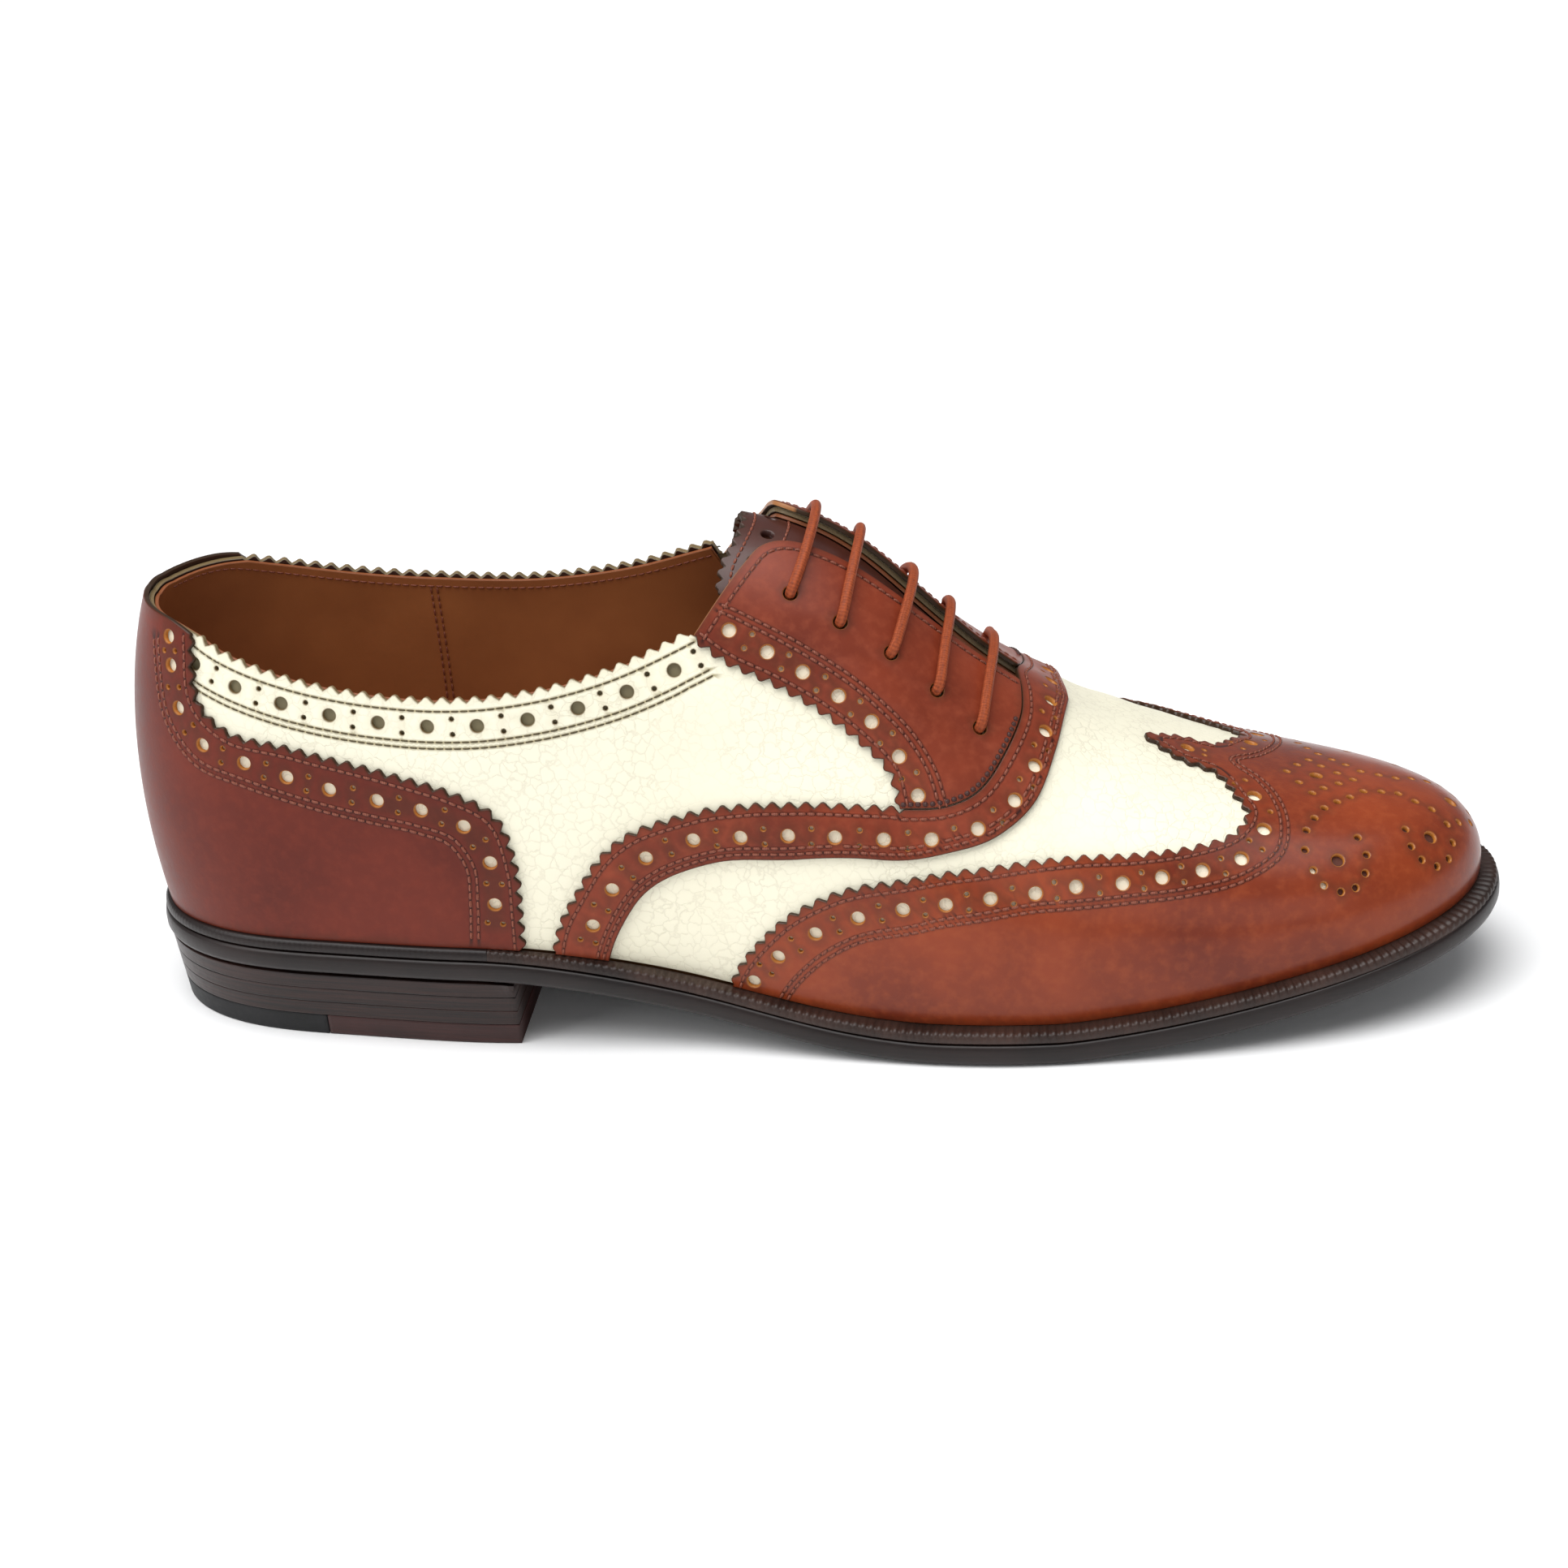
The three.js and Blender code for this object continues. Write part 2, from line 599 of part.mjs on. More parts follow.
// The strips that lie round the upper on the outsole: welt forward of the heel, rand round the seat
function stripRing() {
  const high = (at, side) => {
    let q = 0;
    const foot = feather(at, side);
    while (lastPoint(at, side, q).z < seatZ(foot.x) + WELT_THICK) q += 0.002;
    const wall = lastPoint(at, side, q);
    return Math.hypot(wall.x - foot.x, wall.y - foot.y);
  };
  const inner = ring.map(({ at, side }, k) => {
    const flare = high(at, side);
    const line = planOutline(ring, flare + OUTER + 2 * CLEAR);
    return line[k];
  });
  const outer = planOutline(ring, proudAt);
  const low = (x) => soleZ(x) + OUTSOLE_THICK + CLEAR;
  const top = (x) => soleZ(x) + OUTSOLE_THICK + WELT_THICK;
  const count = ring.length;
  const points = [];
  for (const [outline, z] of [[inner, low], [outer, low], [outer, top], [inner, top]]) {
    for (const p of outline) points.push(p.x, p.y, z(p.x));
  }
  const triangles = [];
  for (let side = 0; side < 4; side++) {
    const next = (side + 1) % 4;
    for (let k = 0; k < count; k++) {
      const a = side * count + k;
      const b = side * count + ((k + 1) % count);
      const c = next * count + ((k + 1) % count);
      const d = next * count + k;
      triangles.push(a, b, c, a, c, d);
    }
  }
  return toSolid(fromPoints(points, triangles).toNonIndexed());
}

function block(x0, x1) {
  const geometry = new THREE.BoxGeometry(x1 - x0, 2 * FAR, 2 * FAR);
  geometry.translate((x0 + x1) / 2, 0, 0);
  return toSolid(geometry);
}

function backToGeometry(solid) {
  const mesh = solid.getMesh();
  return fromPoints([...mesh.vertProperties], [...mesh.triVerts]);
}

const strips = stripRing();

// Heel: lifts under the seat, with a top lift of rubber behind and leather in front
function heelOutline(z) {
  const taper = HEEL_TAPER * (1 - z / HEEL_HEIGHT);
  return planOutline(ring, (x) => RAND_PROUD - CLEAR - taper);
}

function heelLayer(low, top, x0, x1) {
  const whole = toSolid(stack([
    { outline: heelOutline(low), z: (x) => Math.min(low, soleZ(x) - CLEAR) },
    { outline: heelOutline(top), z: (x) => Math.min(top, soleZ(x) - CLEAR) },
  ]).toNonIndexed());
  return backToGeometry(whole.intersect(block(x0, x1)));
}

function insole() {
  const outline = planOutline(ring, INNER - CLEAR);
  return stack([
    { outline, z: (x) => seatZ(x) },
    { outline, z: (x) => seatZ(x) + INSOLE_THICK },
  ]);
}

// Colours
const brown = { color: 0x8a4a2c, roughness: 0.38 };
const toeBrown = { color: 0xa5502d, roughness: 0.32 };
const cream = { color: 0xf3ecd8, roughness: 0.6 };
const darkSole = { color: 0x33261f, roughness: 0.5 };
const looks = {
  brown: new THREE.MeshStandardMaterial({ ...brown, metalness: 0 }),
  toe: new THREE.MeshStandardMaterial({ ...toeBrown, metalness: 0 }),
  cream: new THREE.MeshStandardMaterial({ ...cream, metalness: 0 }),
  sole: new THREE.MeshStandardMaterial({ ...darkSole, metalness: 0 }),
  rubber: new THREE.MeshStandardMaterial({ color: 0x1b1a1a, roughness: 0.8, metalness: 0 }),
  lift: new THREE.MeshStandardMaterial({ color: 0x5a2f1f, roughness: 0.5, metalness: 0 }),
  insole: new THREE.MeshStandardMaterial({ color: 0x9a6a42, roughness: 0.7, metalness: 0 }),
  lace: new THREE.MeshStandardMaterial({ color: 0x8c4526, roughness: 0.6, metalness: 0 }),
};

const shoe = new THREE.Group();

function put(name, geometry, look) {
  const mesh = new THREE.Mesh(geometry, look.clone());
  mesh.name = name;
  shoe.add(mesh);
}

put('outsole', outsole(), looks.sole);
put('heel_rand', backToGeometry(strips.intersect(block(-FAR, STRIP_JOIN - CLEAR / 2))), looks.sole);
put('welt', backToGeometry(strips.intersect(block(STRIP_JOIN + CLEAR / 2, FAR))), looks.sole);

const liftStep = (HEEL_HEIGHT - CLEAR - TOP_LIFT_THICK) / LIFT_COUNT;
for (let n = 0; n < LIFT_COUNT; n++) {
  const low = TOP_LIFT_THICK + n * liftStep;
  put(`heel_lift_${n + 1}`, heelLayer(low, low + liftStep, -FAR, HEEL_BREAST), looks.sole);
}
const rubberEnd = HEEL_BACK + RUBBER_SHARE * HEEL_LENGTH;
put('top_lift_rubber', heelLayer(0, TOP_LIFT_THICK, -FAR, rubberEnd - CLEAR / 2), looks.rubber);
put('top_lift_leather', heelLayer(0, TOP_LIFT_THICK, rubberEnd + CLEAR / 2, HEEL_BREAST), looks.lift);

put('insole', insole(), looks.insole);
put('upper', upper(), looks.cream);
put('counter', counter(), looks.brown);
put('vamp_strap', vampStrap(), looks.brown);
put('toe_wing', toeWing(), looks.toe);
put('facing_lateral', facing(-1), looks.brown);
put('facing_medial', facing(1), looks.brown);
put('tongue', tongue(), looks.brown);
EYELETS.forEach((row, n) => put(`lace_bar_${n + 1}`, laceBar(row), looks.lace));

export default shoe;
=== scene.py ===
# %% [markdown]
# # A two-tone wingtip brogue
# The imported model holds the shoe's solids at their real size. This notebook dresses them: every leather
# is cut again as a thin closed sheet with its punched holes, its pinked edges and its stitches, and each
# finish is a procedural material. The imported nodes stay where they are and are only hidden.

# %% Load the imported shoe
import math

import bpy
import numpy as np
from mathutils import Matrix, Vector
from mathutils.geometry import delaunay_2d_cdt
from mathutils.kdtree import KDTree


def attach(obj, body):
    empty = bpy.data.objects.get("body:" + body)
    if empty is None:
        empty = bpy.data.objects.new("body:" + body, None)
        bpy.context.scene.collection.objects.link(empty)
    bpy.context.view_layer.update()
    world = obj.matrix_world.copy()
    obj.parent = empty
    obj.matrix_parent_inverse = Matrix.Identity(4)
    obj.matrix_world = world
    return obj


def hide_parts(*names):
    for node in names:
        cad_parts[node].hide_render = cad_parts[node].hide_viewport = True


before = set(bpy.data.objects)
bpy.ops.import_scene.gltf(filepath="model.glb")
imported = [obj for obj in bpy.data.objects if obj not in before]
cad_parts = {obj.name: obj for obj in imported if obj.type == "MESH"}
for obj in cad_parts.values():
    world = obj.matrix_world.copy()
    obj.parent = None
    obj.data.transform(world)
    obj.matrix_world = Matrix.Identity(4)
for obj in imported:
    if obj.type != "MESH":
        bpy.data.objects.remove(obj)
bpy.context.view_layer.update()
MM = 0.001
LATERAL, MEDIAL = -1, 1
print("packed nodes:", len(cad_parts))

# %% [markdown]
# ## The last
# A shoe is pulled over a last, so one smooth surface carries every leather. It could be sculpted, but
# then no seam would sit in a place that can be measured. Here it is a formula: a table of sections from
# heel to toe, each a curve from the feather line (where the upper meets the sole) up to the ridge.
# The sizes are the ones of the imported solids, in millimetres.

# %% Sizes of the last and the bottom
LAST_LENGTH = 286.0
BALL_WIDTH = 90.0
INSTEP_HEIGHT = 90.0
TOE_FAN = 58.0
HEEL_FAN = 70.0
HEEL_HEIGHT = 15.8
HEEL_LENGTH = 82.0
TOE_SPRING = 16.0
OUTSOLE_THICK = 5.0
WELT_THICK = 2.7
WELT_PROUD = 5.0
WAIST_PROUD = 3.8
RAND_PROUD = 2.2
HEEL_TAPER = 2.0
TOP_LIFT_THICK = 5.0
LIFT_COUNT = 3
RUBBER_SHARE = 0.47
STRIP_JOIN_BACK = 5.0
WAIST_RUN = 35.0
INSOLE_THICK = 3.0
CLEAR = 0.3
# where the tread starts and ends, and how far the arch reaches over the heel, as shares
TREAD_START, TREAD_END = 0.607, 0.691
ARCH_OVER_HEEL = 0.13
SPRING_BEND = 1.33
HEEL_SET_IN = 0.5

HEEL_BACK = -HEEL_LENGTH / 2
HEEL_BREAST = HEEL_LENGTH / 2
LAST_BACK = HEEL_BACK - HEEL_SET_IN
LAST_TOE = LAST_BACK + LAST_LENGTH
SOLE_TIP = LAST_TOE + WELT_PROUD
TREAD_BACK = LAST_BACK + TREAD_START * LAST_LENGTH
TREAD_FRONT = LAST_BACK + TREAD_END * LAST_LENGTH
ARCH_BACK = HEEL_BREAST - ARCH_OVER_HEEL * HEEL_LENGTH
JOIN_X = HEEL_BREAST - STRIP_JOIN_BACK

# %% Sections of the last
SECTION_AT = (0.00, 0.06, 0.14, 0.27, 0.42, 0.55, 0.65, 0.74, 0.84, 0.93, 1.00)
SECTION = {
    "lateral": (0.650, 0.575, 0.492, 0.443, 0.393, 0.444, 0.490, 0.510, 0.540, 0.585, 0.625),
    "medial": (0.665, 0.590, 0.500, 0.425, 0.366, 0.443, 0.557, 0.640, 0.670, 0.675, 0.650),
    "ridge": (1.100, 1.100, 1.098, 1.085, 1.065, 1.020, 0.750, 0.552, 0.388, 0.287, 0.233),
    "flare": (1.10, 1.08, 1.07, 1.05, 1.05, 1.05, 1.05, 1.05, 1.05, 1.05, 1.04),
    "hip_lateral": (1.19, 1.12, 1.06, 1.04, 1.09, 1.11, 1.12, 1.13, 1.10, 1.10, 1.09),
    "hip_medial": (1.19, 1.12, 1.06, 1.03, 1.09, 1.11, 1.12, 1.13, 1.11, 1.10, 1.09),
    "shoulder": (0.940, 0.910, 0.870, 0.845, 0.820, 0.730, 0.760, 0.855, 0.895, 0.925, 0.930),
    "crown": (0.66, 0.65, 0.65, 0.66, 0.60, 0.42, 0.41, 0.51, 0.55, 0.58, 0.62),
}
CURVE_UP = (0.0, 0.2, 0.48, 0.84, 1.0, 1.0)


def smooth(xs, ys, at):
    """A smooth curve through a table, at every value of `at`."""
    xs, ys = np.asarray(xs, float), np.asarray(ys, float)
    span = np.diff(xs)
    slope = np.diff(ys) / span
    inner = (slope[:-1] * span[1:] + slope[1:] * span[:-1]) / (span[1:] + span[:-1])
    tangent = np.concatenate([slope[:1], inner, slope[-1:]])
    at = np.clip(at, xs[0], xs[-1])
    i = np.clip(np.searchsorted(xs, at, side="right") - 1, 0, len(xs) - 2)
    h = span[i]
    u = (at - xs[i]) / h
    rise = ys[i + 1] - ys[i]
    bend = 3 * rise - h * (2 * tangent[i] + tangent[i + 1])
    return ys[i] + u * h * tangent[i] + u * u * bend + u ** 3 * (rise - bend - h * tangent[i])


FINE_AT = np.linspace(0, 1, 4001)
FINE = {column: smooth(SECTION_AT, row, FINE_AT) for column, row in SECTION.items()}


def section(column, at):
    """A column of the table at any place. The smooth curves are sampled once, very finely."""
    return np.interp(at, FINE_AT, FINE[column])


def unit(vectors):
    return vectors / np.maximum(np.linalg.norm(vectors, axis=-1, keepdims=True), 1e-12)


def by_side(side, lateral, medial):
    return np.where(np.asarray(side) < 0, lateral, medial)


def soft_step(x, low, high):
    u = np.clip((x - low) / (high - low), 0, 1)
    return u * u * (3 - 2 * u)


def sole_z(x):
    """Underside of the outsole: level seat, arch, flat tread, toe spring."""
    spring = np.clip((x - TREAD_FRONT) / (SOLE_TIP - TREAD_FRONT), 0, 1)
    return HEEL_HEIGHT * (1 - soft_step(x, ARCH_BACK, TREAD_BACK)) + TOE_SPRING * spring ** SPRING_BEND


def seat_z(x):
    return sole_z(x) + OUTSOLE_THICK + CLEAR


def ridge_x(x):
    toe, heel = LAST_TOE - TOE_FAN, LAST_BACK + HEEL_FAN
    return x - np.maximum(x - toe, 0) ** 2 / (2 * TOE_FAN) + np.maximum(heel - x, 0) ** 2 / (2 * HEEL_FAN)


def ridge_z(x):
    return seat_z(x) + INSTEP_HEIGHT * section("ridge", (x - LAST_BACK) / LAST_LENGTH)


def feather(turn, side):
    """A point of the feather line. `turn` goes from 0 at the heel to pi at the toe."""
    at = 0.5 - 0.5 * np.cos(turn)
    half = by_side(side, section("lateral", at), section("medial", at))
    return LAST_BACK + LAST_LENGTH * at, side * np.sin(turn) * BALL_WIDTH * half


def last_point(turn, side, q):
    """A point of the last, q from 0 at the feather line to 1 at the ridge."""
    at = 0.5 - 0.5 * np.cos(turn)
    foot_x, foot_y = feather(turn, side)
    top = ridge_x(foot_x)
    seat, ridge = seat_z(foot_x), ridge_z(top)
    slope = (ridge_z(top + 0.05) - ridge_z(top - 0.05)) / 0.1
    crown = section("crown", at)
    hip = by_side(side, section("hip_lateral", at), section("hip_medial", at))
    across = (1, section("flare", at), hip, section("shoulder", at), crown, 0)
    point = np.zeros(np.broadcast(turn, side, q).shape + (3,))
    for k in range(6):
        weight = math.comb(5, k) * (1 - q) ** (5 - k) * q ** k
        up = CURVE_UP[k] * (ridge - seat) + (slope * crown * (foot_x - top) if k == 4 else 0)
        point[..., 0] += weight * (top + across[k] * (foot_x - top))
        point[..., 1] += weight * across[k] * foot_y
        point[..., 2] += weight * (seat + up)
    return point


print("last from x =", LAST_BACK, "to", LAST_TOE, "mm")

# %% [markdown]
# ## The flat pattern
# A pattern cutter draws on paper taped over the last. The same is done here: a flat place is measured
# along the ridge, and down from it round the girth. A place can also be given up from the feather line.
# Both become one flat chart, so outlines, holes and stitches are drawn flat and then laid on the last.

# %% Chart of the last
TURNS = np.linspace(0, math.pi, 361)
GIRTH_STEPS = np.linspace(0, 1, 161)
_turn, _q = np.meshgrid(TURNS, GIRTH_STEPS, indexing="ij")


def section_ray(turn, side):
    """Where a section leaves the ridge, and its way over the flat chart."""
    foot_x, foot_y = feather(turn, side)
    top = ridge_x(foot_x)
    reach = np.hypot(foot_x - top, foot_y)
    return top, (foot_x - top) / reach, foot_y / reach


# one row for each side: lateral 0, medial 1
_tables = []
for _side in (LATERAL, MEDIAL):
    _points = last_point(_turn, _side, _q)
    _steps = np.linalg.norm(np.diff(_points, axis=1), axis=2)
    _up = np.concatenate([np.zeros((len(TURNS), 1)), np.cumsum(_steps, axis=1)], axis=1)
    _feet = np.linalg.norm(np.diff(_points[:, 0], axis=0), axis=1)
    _q_rows = np.stack([np.interp(GIRTH_STEPS, row / row[-1], GIRTH_STEPS) for row in _up])
    _tables.append((_up[:, -1], _q_rows, np.concatenate([[0], np.cumsum(_feet)]), *section_ray(TURNS, _side)))
GIRTH, Q_AT, PERIMETER, RAY_TOP, RAY_X, RAY_Y = (np.stack(rows) for rows in zip(*_tables))


def table_place(value, count):
    """Index and remainder of values from 0 to 1 in a table of evenly spaced entries."""
    place = np.clip(value, 0, 1) * (count - 1)
    index = np.minimum(place.astype(int), count - 2)
    return index, value * (count - 1) - index


def girth_at(turn, side):
    """Girth from the feather line to the ridge, along the section at `turn`."""
    row = (side > 0).astype(int)
    i, w = table_place(turn / math.pi, len(TURNS))
    return (1 - w) * GIRTH[row, i] + w * GIRTH[row, i + 1]


def turn_of(at):
    return np.arccos(np.clip(1 - 2 * np.asarray(at, float), -1, 1))


def along_ridge(at, side, down):
    """Chart place of a girth share down from the ridge, `at` measured straight along the ridge."""
    at, down = np.broadcast_arrays(np.asarray(at, float), np.asarray(down, float))
    return np.stack([LAST_BACK + at * LAST_LENGTH, side * down * INSTEP_HEIGHT], -1)


def over_feather(at, side, up):
    """Chart place of a height in mm up from the feather line, on the section that starts at `at`."""
    at, up = np.broadcast_arrays(np.atleast_1d(np.asarray(at, float)), np.asarray(up, float))
    turn = turn_of(at)
    sides = np.broadcast_to(side, turn.shape)
    top, way_x, way_y = section_ray(turn, sides)
    down = girth_at(turn, sides) - up
    return np.stack([top + way_x * down, way_y * down], -1)


def find_section(flat):
    """For chart places: the turn of their section, their side and their height over the feather."""
    side = np.where(flat[:, 1] > 0, MEDIAL, LATERAL)
    row = (side > 0).astype(int)
    x, y = flat[:, 0], np.abs(flat[:, 1])
    low, high = np.zeros(len(flat), int), np.full(len(flat), len(TURNS) - 1)
    for _ in range(9):
        middle = (low + high) // 2
        over = RAY_X[row, middle] * y - np.abs(RAY_Y[row, middle]) * (x - RAY_TOP[row, middle]) > 0
        low, high = np.where(over, low, middle), np.where(over, middle, high)
    low, high = np.minimum(low, len(TURNS) - 2), np.minimum(low, len(TURNS) - 2) + 1
    value = [RAY_X[row, k] * y - np.abs(RAY_Y[row, k]) * (x - RAY_TOP[row, k]) for k in (low, high)]
    ends = [TURNS[low], TURNS[high]]
    for _ in range(3):
        gap = value[1] - value[0]
        turn = ends[0] - value[0] * (ends[1] - ends[0]) / np.where(np.abs(gap) < 1e-12, 1e-12, gap)
        turn = np.clip(turn, TURNS[low], TURNS[high])
        top, way_x, way_y = section_ray(turn, side)
        here = way_x * y - np.abs(way_y) * (x - top)
        over = here > 0
        ends = [np.where(over, ends[0], turn), np.where(over, turn, ends[1])]
        value = [np.where(over, value[0], here), np.where(over, here, value[1])]
    up = girth_at(turn, side) - np.hypot(x - top, y)
    return turn, side, up


def on_last(flat):
    """Points of the last and their outward normals, for chart places in mm."""
    turn, side, up = find_section(flat)
    row = (side > 0).astype(int)
    i, w = table_place(turn / math.pi, len(TURNS))
    j, v = table_place(up / girth_at(turn, side), len(GIRTH_STEPS))
    q = (1 - w) * ((1 - v) * Q_AT[row, i, j] + v * Q_AT[row, i, j + 1])
    q += w * ((1 - v) * Q_AT[row, i + 1, j] + v * Q_AT[row, i + 1, j + 1])
    point = last_point(turn, side, q)
    step = 0.002
    along = last_point(turn + step, side, q) - point
    rise = point - last_point(turn, side, q - step)
    normal = np.where((side < 0)[:, None], np.cross(along, rise), np.cross(rise, along))
    return point, unit(normal)


print("perimeter, lateral and medial:", PERIMETER[:, -1].round(1), "mm")

# %% [markdown]
# ## Soft creases
# Leather that was flexed keeps shallow troughs across the vamp and small folds where the facings are
# laced. They could be painted as bump, but a trough that catches light has to be in the form. Each is
# placed on the pattern: where it lies, its direction, length, width and depth.

# %% Creases
# at, down share, direction in degrees on the chart, length, width and depth in mm
CREASES = (
    (0.715, -0.30, 78, 46, 5.0, 0.30),
    (0.735, -0.42, 70, 38, 4.0, 0.22),
    (0.712, 0.30, 100, 48, 5.0, 0.30),
    (0.738, 0.42, 108, 38, 4.0, 0.22),
    (0.560, -0.30, 8, 34, 2.6, 0.22),
    (0.545, -0.34, 14, 30, 2.2, 0.18),
    (0.600, -0.31, -4, 26, 2.4, 0.20),
    (0.555, 0.31, -8, 32, 2.6, 0.22),
    (0.480, -0.62, 20, 50, 8.0, 0.35),
    (0.475, 0.66, -18, 50, 8.0, 0.35),
    (0.330, -0.80, 40, 44, 9.0, 0.30),
    (0.330, 0.80, -40, 44, 9.0, 0.30),
)


# at, down share (medial is positive), half length along the ridge, half width and lift in mm
SWELLS = (
    (0.466, 0.060, 24, 13, 2.2),
    (0.622, 0.150, 26, 9, -1.6),
)


def relief(flat):
    """How far the leather stands off the last here, in mm."""
    lift = np.zeros(len(flat))
    for at, down, length, width, height in SWELLS:
        offset = (flat - along_ridge(at, 1, down)) / [length, width]
        lift += height * np.exp(-(offset ** 2).sum(1))
    for at, down, direction, length, width, depth in CREASES:
        middle = along_ridge(at, 1, down)
        way = np.array([math.cos(math.radians(direction)), math.sin(math.radians(direction))])
        along = (flat - middle) @ way / (length / 2)
        across = (flat - middle) @ np.array([-way[1], way[0]]) / width
        trough = np.exp(-along ** 4) * (np.exp(-across ** 2) - 0.55 * np.exp(-(np.abs(across) - 1.7) ** 2))
        lift -= depth * trough
    return lift


def place(flat, depth):
    """Chart places laid on the last at a depth in mm. Positive depths stand outside the last."""
    flat = np.atleast_2d(flat)
    point, normal = on_last(flat)
    return point + normal * (relief(flat) + depth)[:, None]


def tangents(flat):
    """How the leather moves, in 3D, for a mm of x and a mm of y on the chart."""
    step = 0.05
    ways = []
    for move in ([step, 0], [0, step]):
        low, high = flat - move, flat + move
        way = (on_last(high)[0] - on_last(low)[0]) / (2 * step)
        ways.append((way, (relief(high) - relief(low)) / (2 * step)))
    normal = unit(np.cross(ways[0][0], ways[1][0]))
    return [way + normal * rise[:, None] for way, rise in ways]


def chart_step(along, across, vectors):
    """The step on the chart that moves the leather by these 3D vectors."""
    dot = lambda a, b: (a * b).sum(-1)
    aa, bb, ab = dot(along, along), dot(across, across), dot(along, across)
    va, vb = dot(vectors, along), dot(vectors, across)
    whole = np.maximum(aa * bb - ab * ab, 1e-9)
    return np.stack([(va * bb - vb * ab) / whole, (vb * aa - va * ab) / whole], -1)


# %% [markdown]
# ## Lines on the pattern
# A seam or an edge is a smooth curve through a few measured places. Its points are spread by true
# length on the leather, not on the chart, so a pinked tooth or a stitch has the same size everywhere.
# Pinking (gimping) is a saw-tooth edge: it could be a texture with alpha, but it shows in the outline
# and throws a shadow, so the teeth are cut.

# %% Curves, offsets and pinked edges
CURVE_PARTS = 24
PINK_PITCH = 3.5
PINK_DEPTH = 1.35
# phase in the tooth, share of its height
PINK_TOOTH = ((0.0, 0.0), (0.2, 0.45), (0.37, 0.90), (0.5, 1.0), (0.63, 0.90), (0.8, 0.45))


def through(points):
    """A dense smooth curve through chart points."""
    points = np.asarray(points, float)
    padded = np.concatenate([2 * points[:1] - points[1:2], points, 2 * points[-1:] - points[-2:-1]])
    knots = np.concatenate([[0], np.cumsum(np.sqrt(np.linalg.norm(np.diff(padded, axis=0), axis=1)))])
    dense = []
    for k in range(1, len(padded) - 2):
        t0, t1, t2, t3 = knots[k - 1:k + 3]
        t = np.linspace(t1, t2, CURVE_PARTS + 1)[:-1, None]
        p0, p1, p2, p3 = padded[k - 1:k + 3]
        a1 = (t1 - t) / (t1 - t0) * p0 + (t - t0) / (t1 - t0) * p1
        a2 = (t2 - t) / (t2 - t1) * p1 + (t - t1) / (t2 - t1) * p2
        a3 = (t3 - t) / (t3 - t2) * p2 + (t - t2) / (t3 - t2) * p3
        b1 = (t2 - t) / (t2 - t0) * a1 + (t - t0) / (t2 - t0) * a2
        b2 = (t3 - t) / (t3 - t1) * a2 + (t - t1) / (t3 - t1) * a3
        dense.append((t2 - t) / (t2 - t1) * b1 + (t - t1) / (t2 - t1) * b2)
    dense.append(padded[-2:-1])
    return np.concatenate(dense)


def spread(curve, step=None, count=None, phases=None):
    """The curve again, with its points spread by true length on the leather."""
    length = np.concatenate([[0], np.cumsum(np.linalg.norm(np.diff(place(curve, 0.0), axis=0), axis=1))])
    if phases is None:
        count = count or max(int(round(length[-1] / step)), 1)
        phases = np.linspace(0, 1, count + 1)
    return np.stack([np.interp(phases * length[-1], length, curve[:, k]) for k in (0, 1)], -1)


def leather_length(curve):
    return np.linalg.norm(np.diff(place(curve, 0.0), axis=0), axis=1).sum()


def moved(curve, distance, closed=False):
    """The curve moved sideways on the leather, to its right. `distance` is in mm."""
    along, across = tangents(curve)
    point = place(curve, 0.0)
    if closed:
        ahead = np.roll(point, -1, axis=0) - np.roll(point, 1, axis=0)
    else:
        ahead = np.gradient(point, axis=0)
    right = unit(np.cross(unit(ahead), unit(np.cross(along, across))))
    return curve + chart_step(along, across, right * np.broadcast_to(distance, len(curve))[:, None])


def pinked(curve):
    """Cuts saw teeth along a curve. They point to its right, half outside the curve."""
    teeth = max(int(round(leather_length(curve) / PINK_PITCH)), 1)
    phase = np.array([t for t, _ in PINK_TOOTH])
    height = np.array([h for _, h in PINK_TOOTH])
    phases = np.append((np.arange(teeth)[:, None] + phase).ravel() / teeth, 1.0)
    heights = np.append(np.tile(height, teeth), 0.0)
    return moved(spread(curve, phases=phases), (heights - 0.5) * PINK_DEPTH)


def mirrored(curve):
    """The same line on the other side of the shoe, run the other way."""
    return curve[::-1] * [1, -1]


print("teeth every", PINK_PITCH, "mm,", PINK_DEPTH, "mm deep")

# %% [markdown]
# ## Cutting a leather
# A piece of leather is a thin sheet with real holes and a soft rolled rim. A boolean for each of the
# hundreds of holes would be slow and leave ragged meshes. A flat triangulation that knows the outline
# and the holes gives all of them at once, and the sheet is then laid on the last at its depth. Two
# values ride on each point: how near it is to a cut edge and how near to a seam. Materials read them.

# %% The cutter
ROLL = 0.28
SEAM_REACH = 0.6


def finish_piece(name, points, faces, material, normals=None, values=None, replaces=()):
    """Makes the object from points in mm, gives it its material, and lets it ride with the shoe."""
    mesh = bpy.data.meshes.new(name)
    mesh.from_pydata((np.asarray(points) * MM).tolist(), [], faces)
    mesh.polygons.foreach_set("use_smooth", np.ones(len(mesh.polygons), bool))
    for key, value in (values or {}).items():
        mesh.attributes.new(key, "FLOAT", "POINT").data.foreach_set("value", np.asarray(value, np.float32))
    if normals is not None:
        mesh.normals_split_custom_set_from_vertices(unit(np.asarray(normals)).tolist())
    piece = bpy.data.objects.new(name, mesh)
    bpy.context.scene.collection.objects.link(piece)
    mesh.materials.append(material)
    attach(piece, "root")
    if replaces:
        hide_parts(*replaces)
    triangles = sum(len(p.vertices) - 2 for p in mesh.polygons)
    print(f"{name}: {triangles} triangles")
    return piece


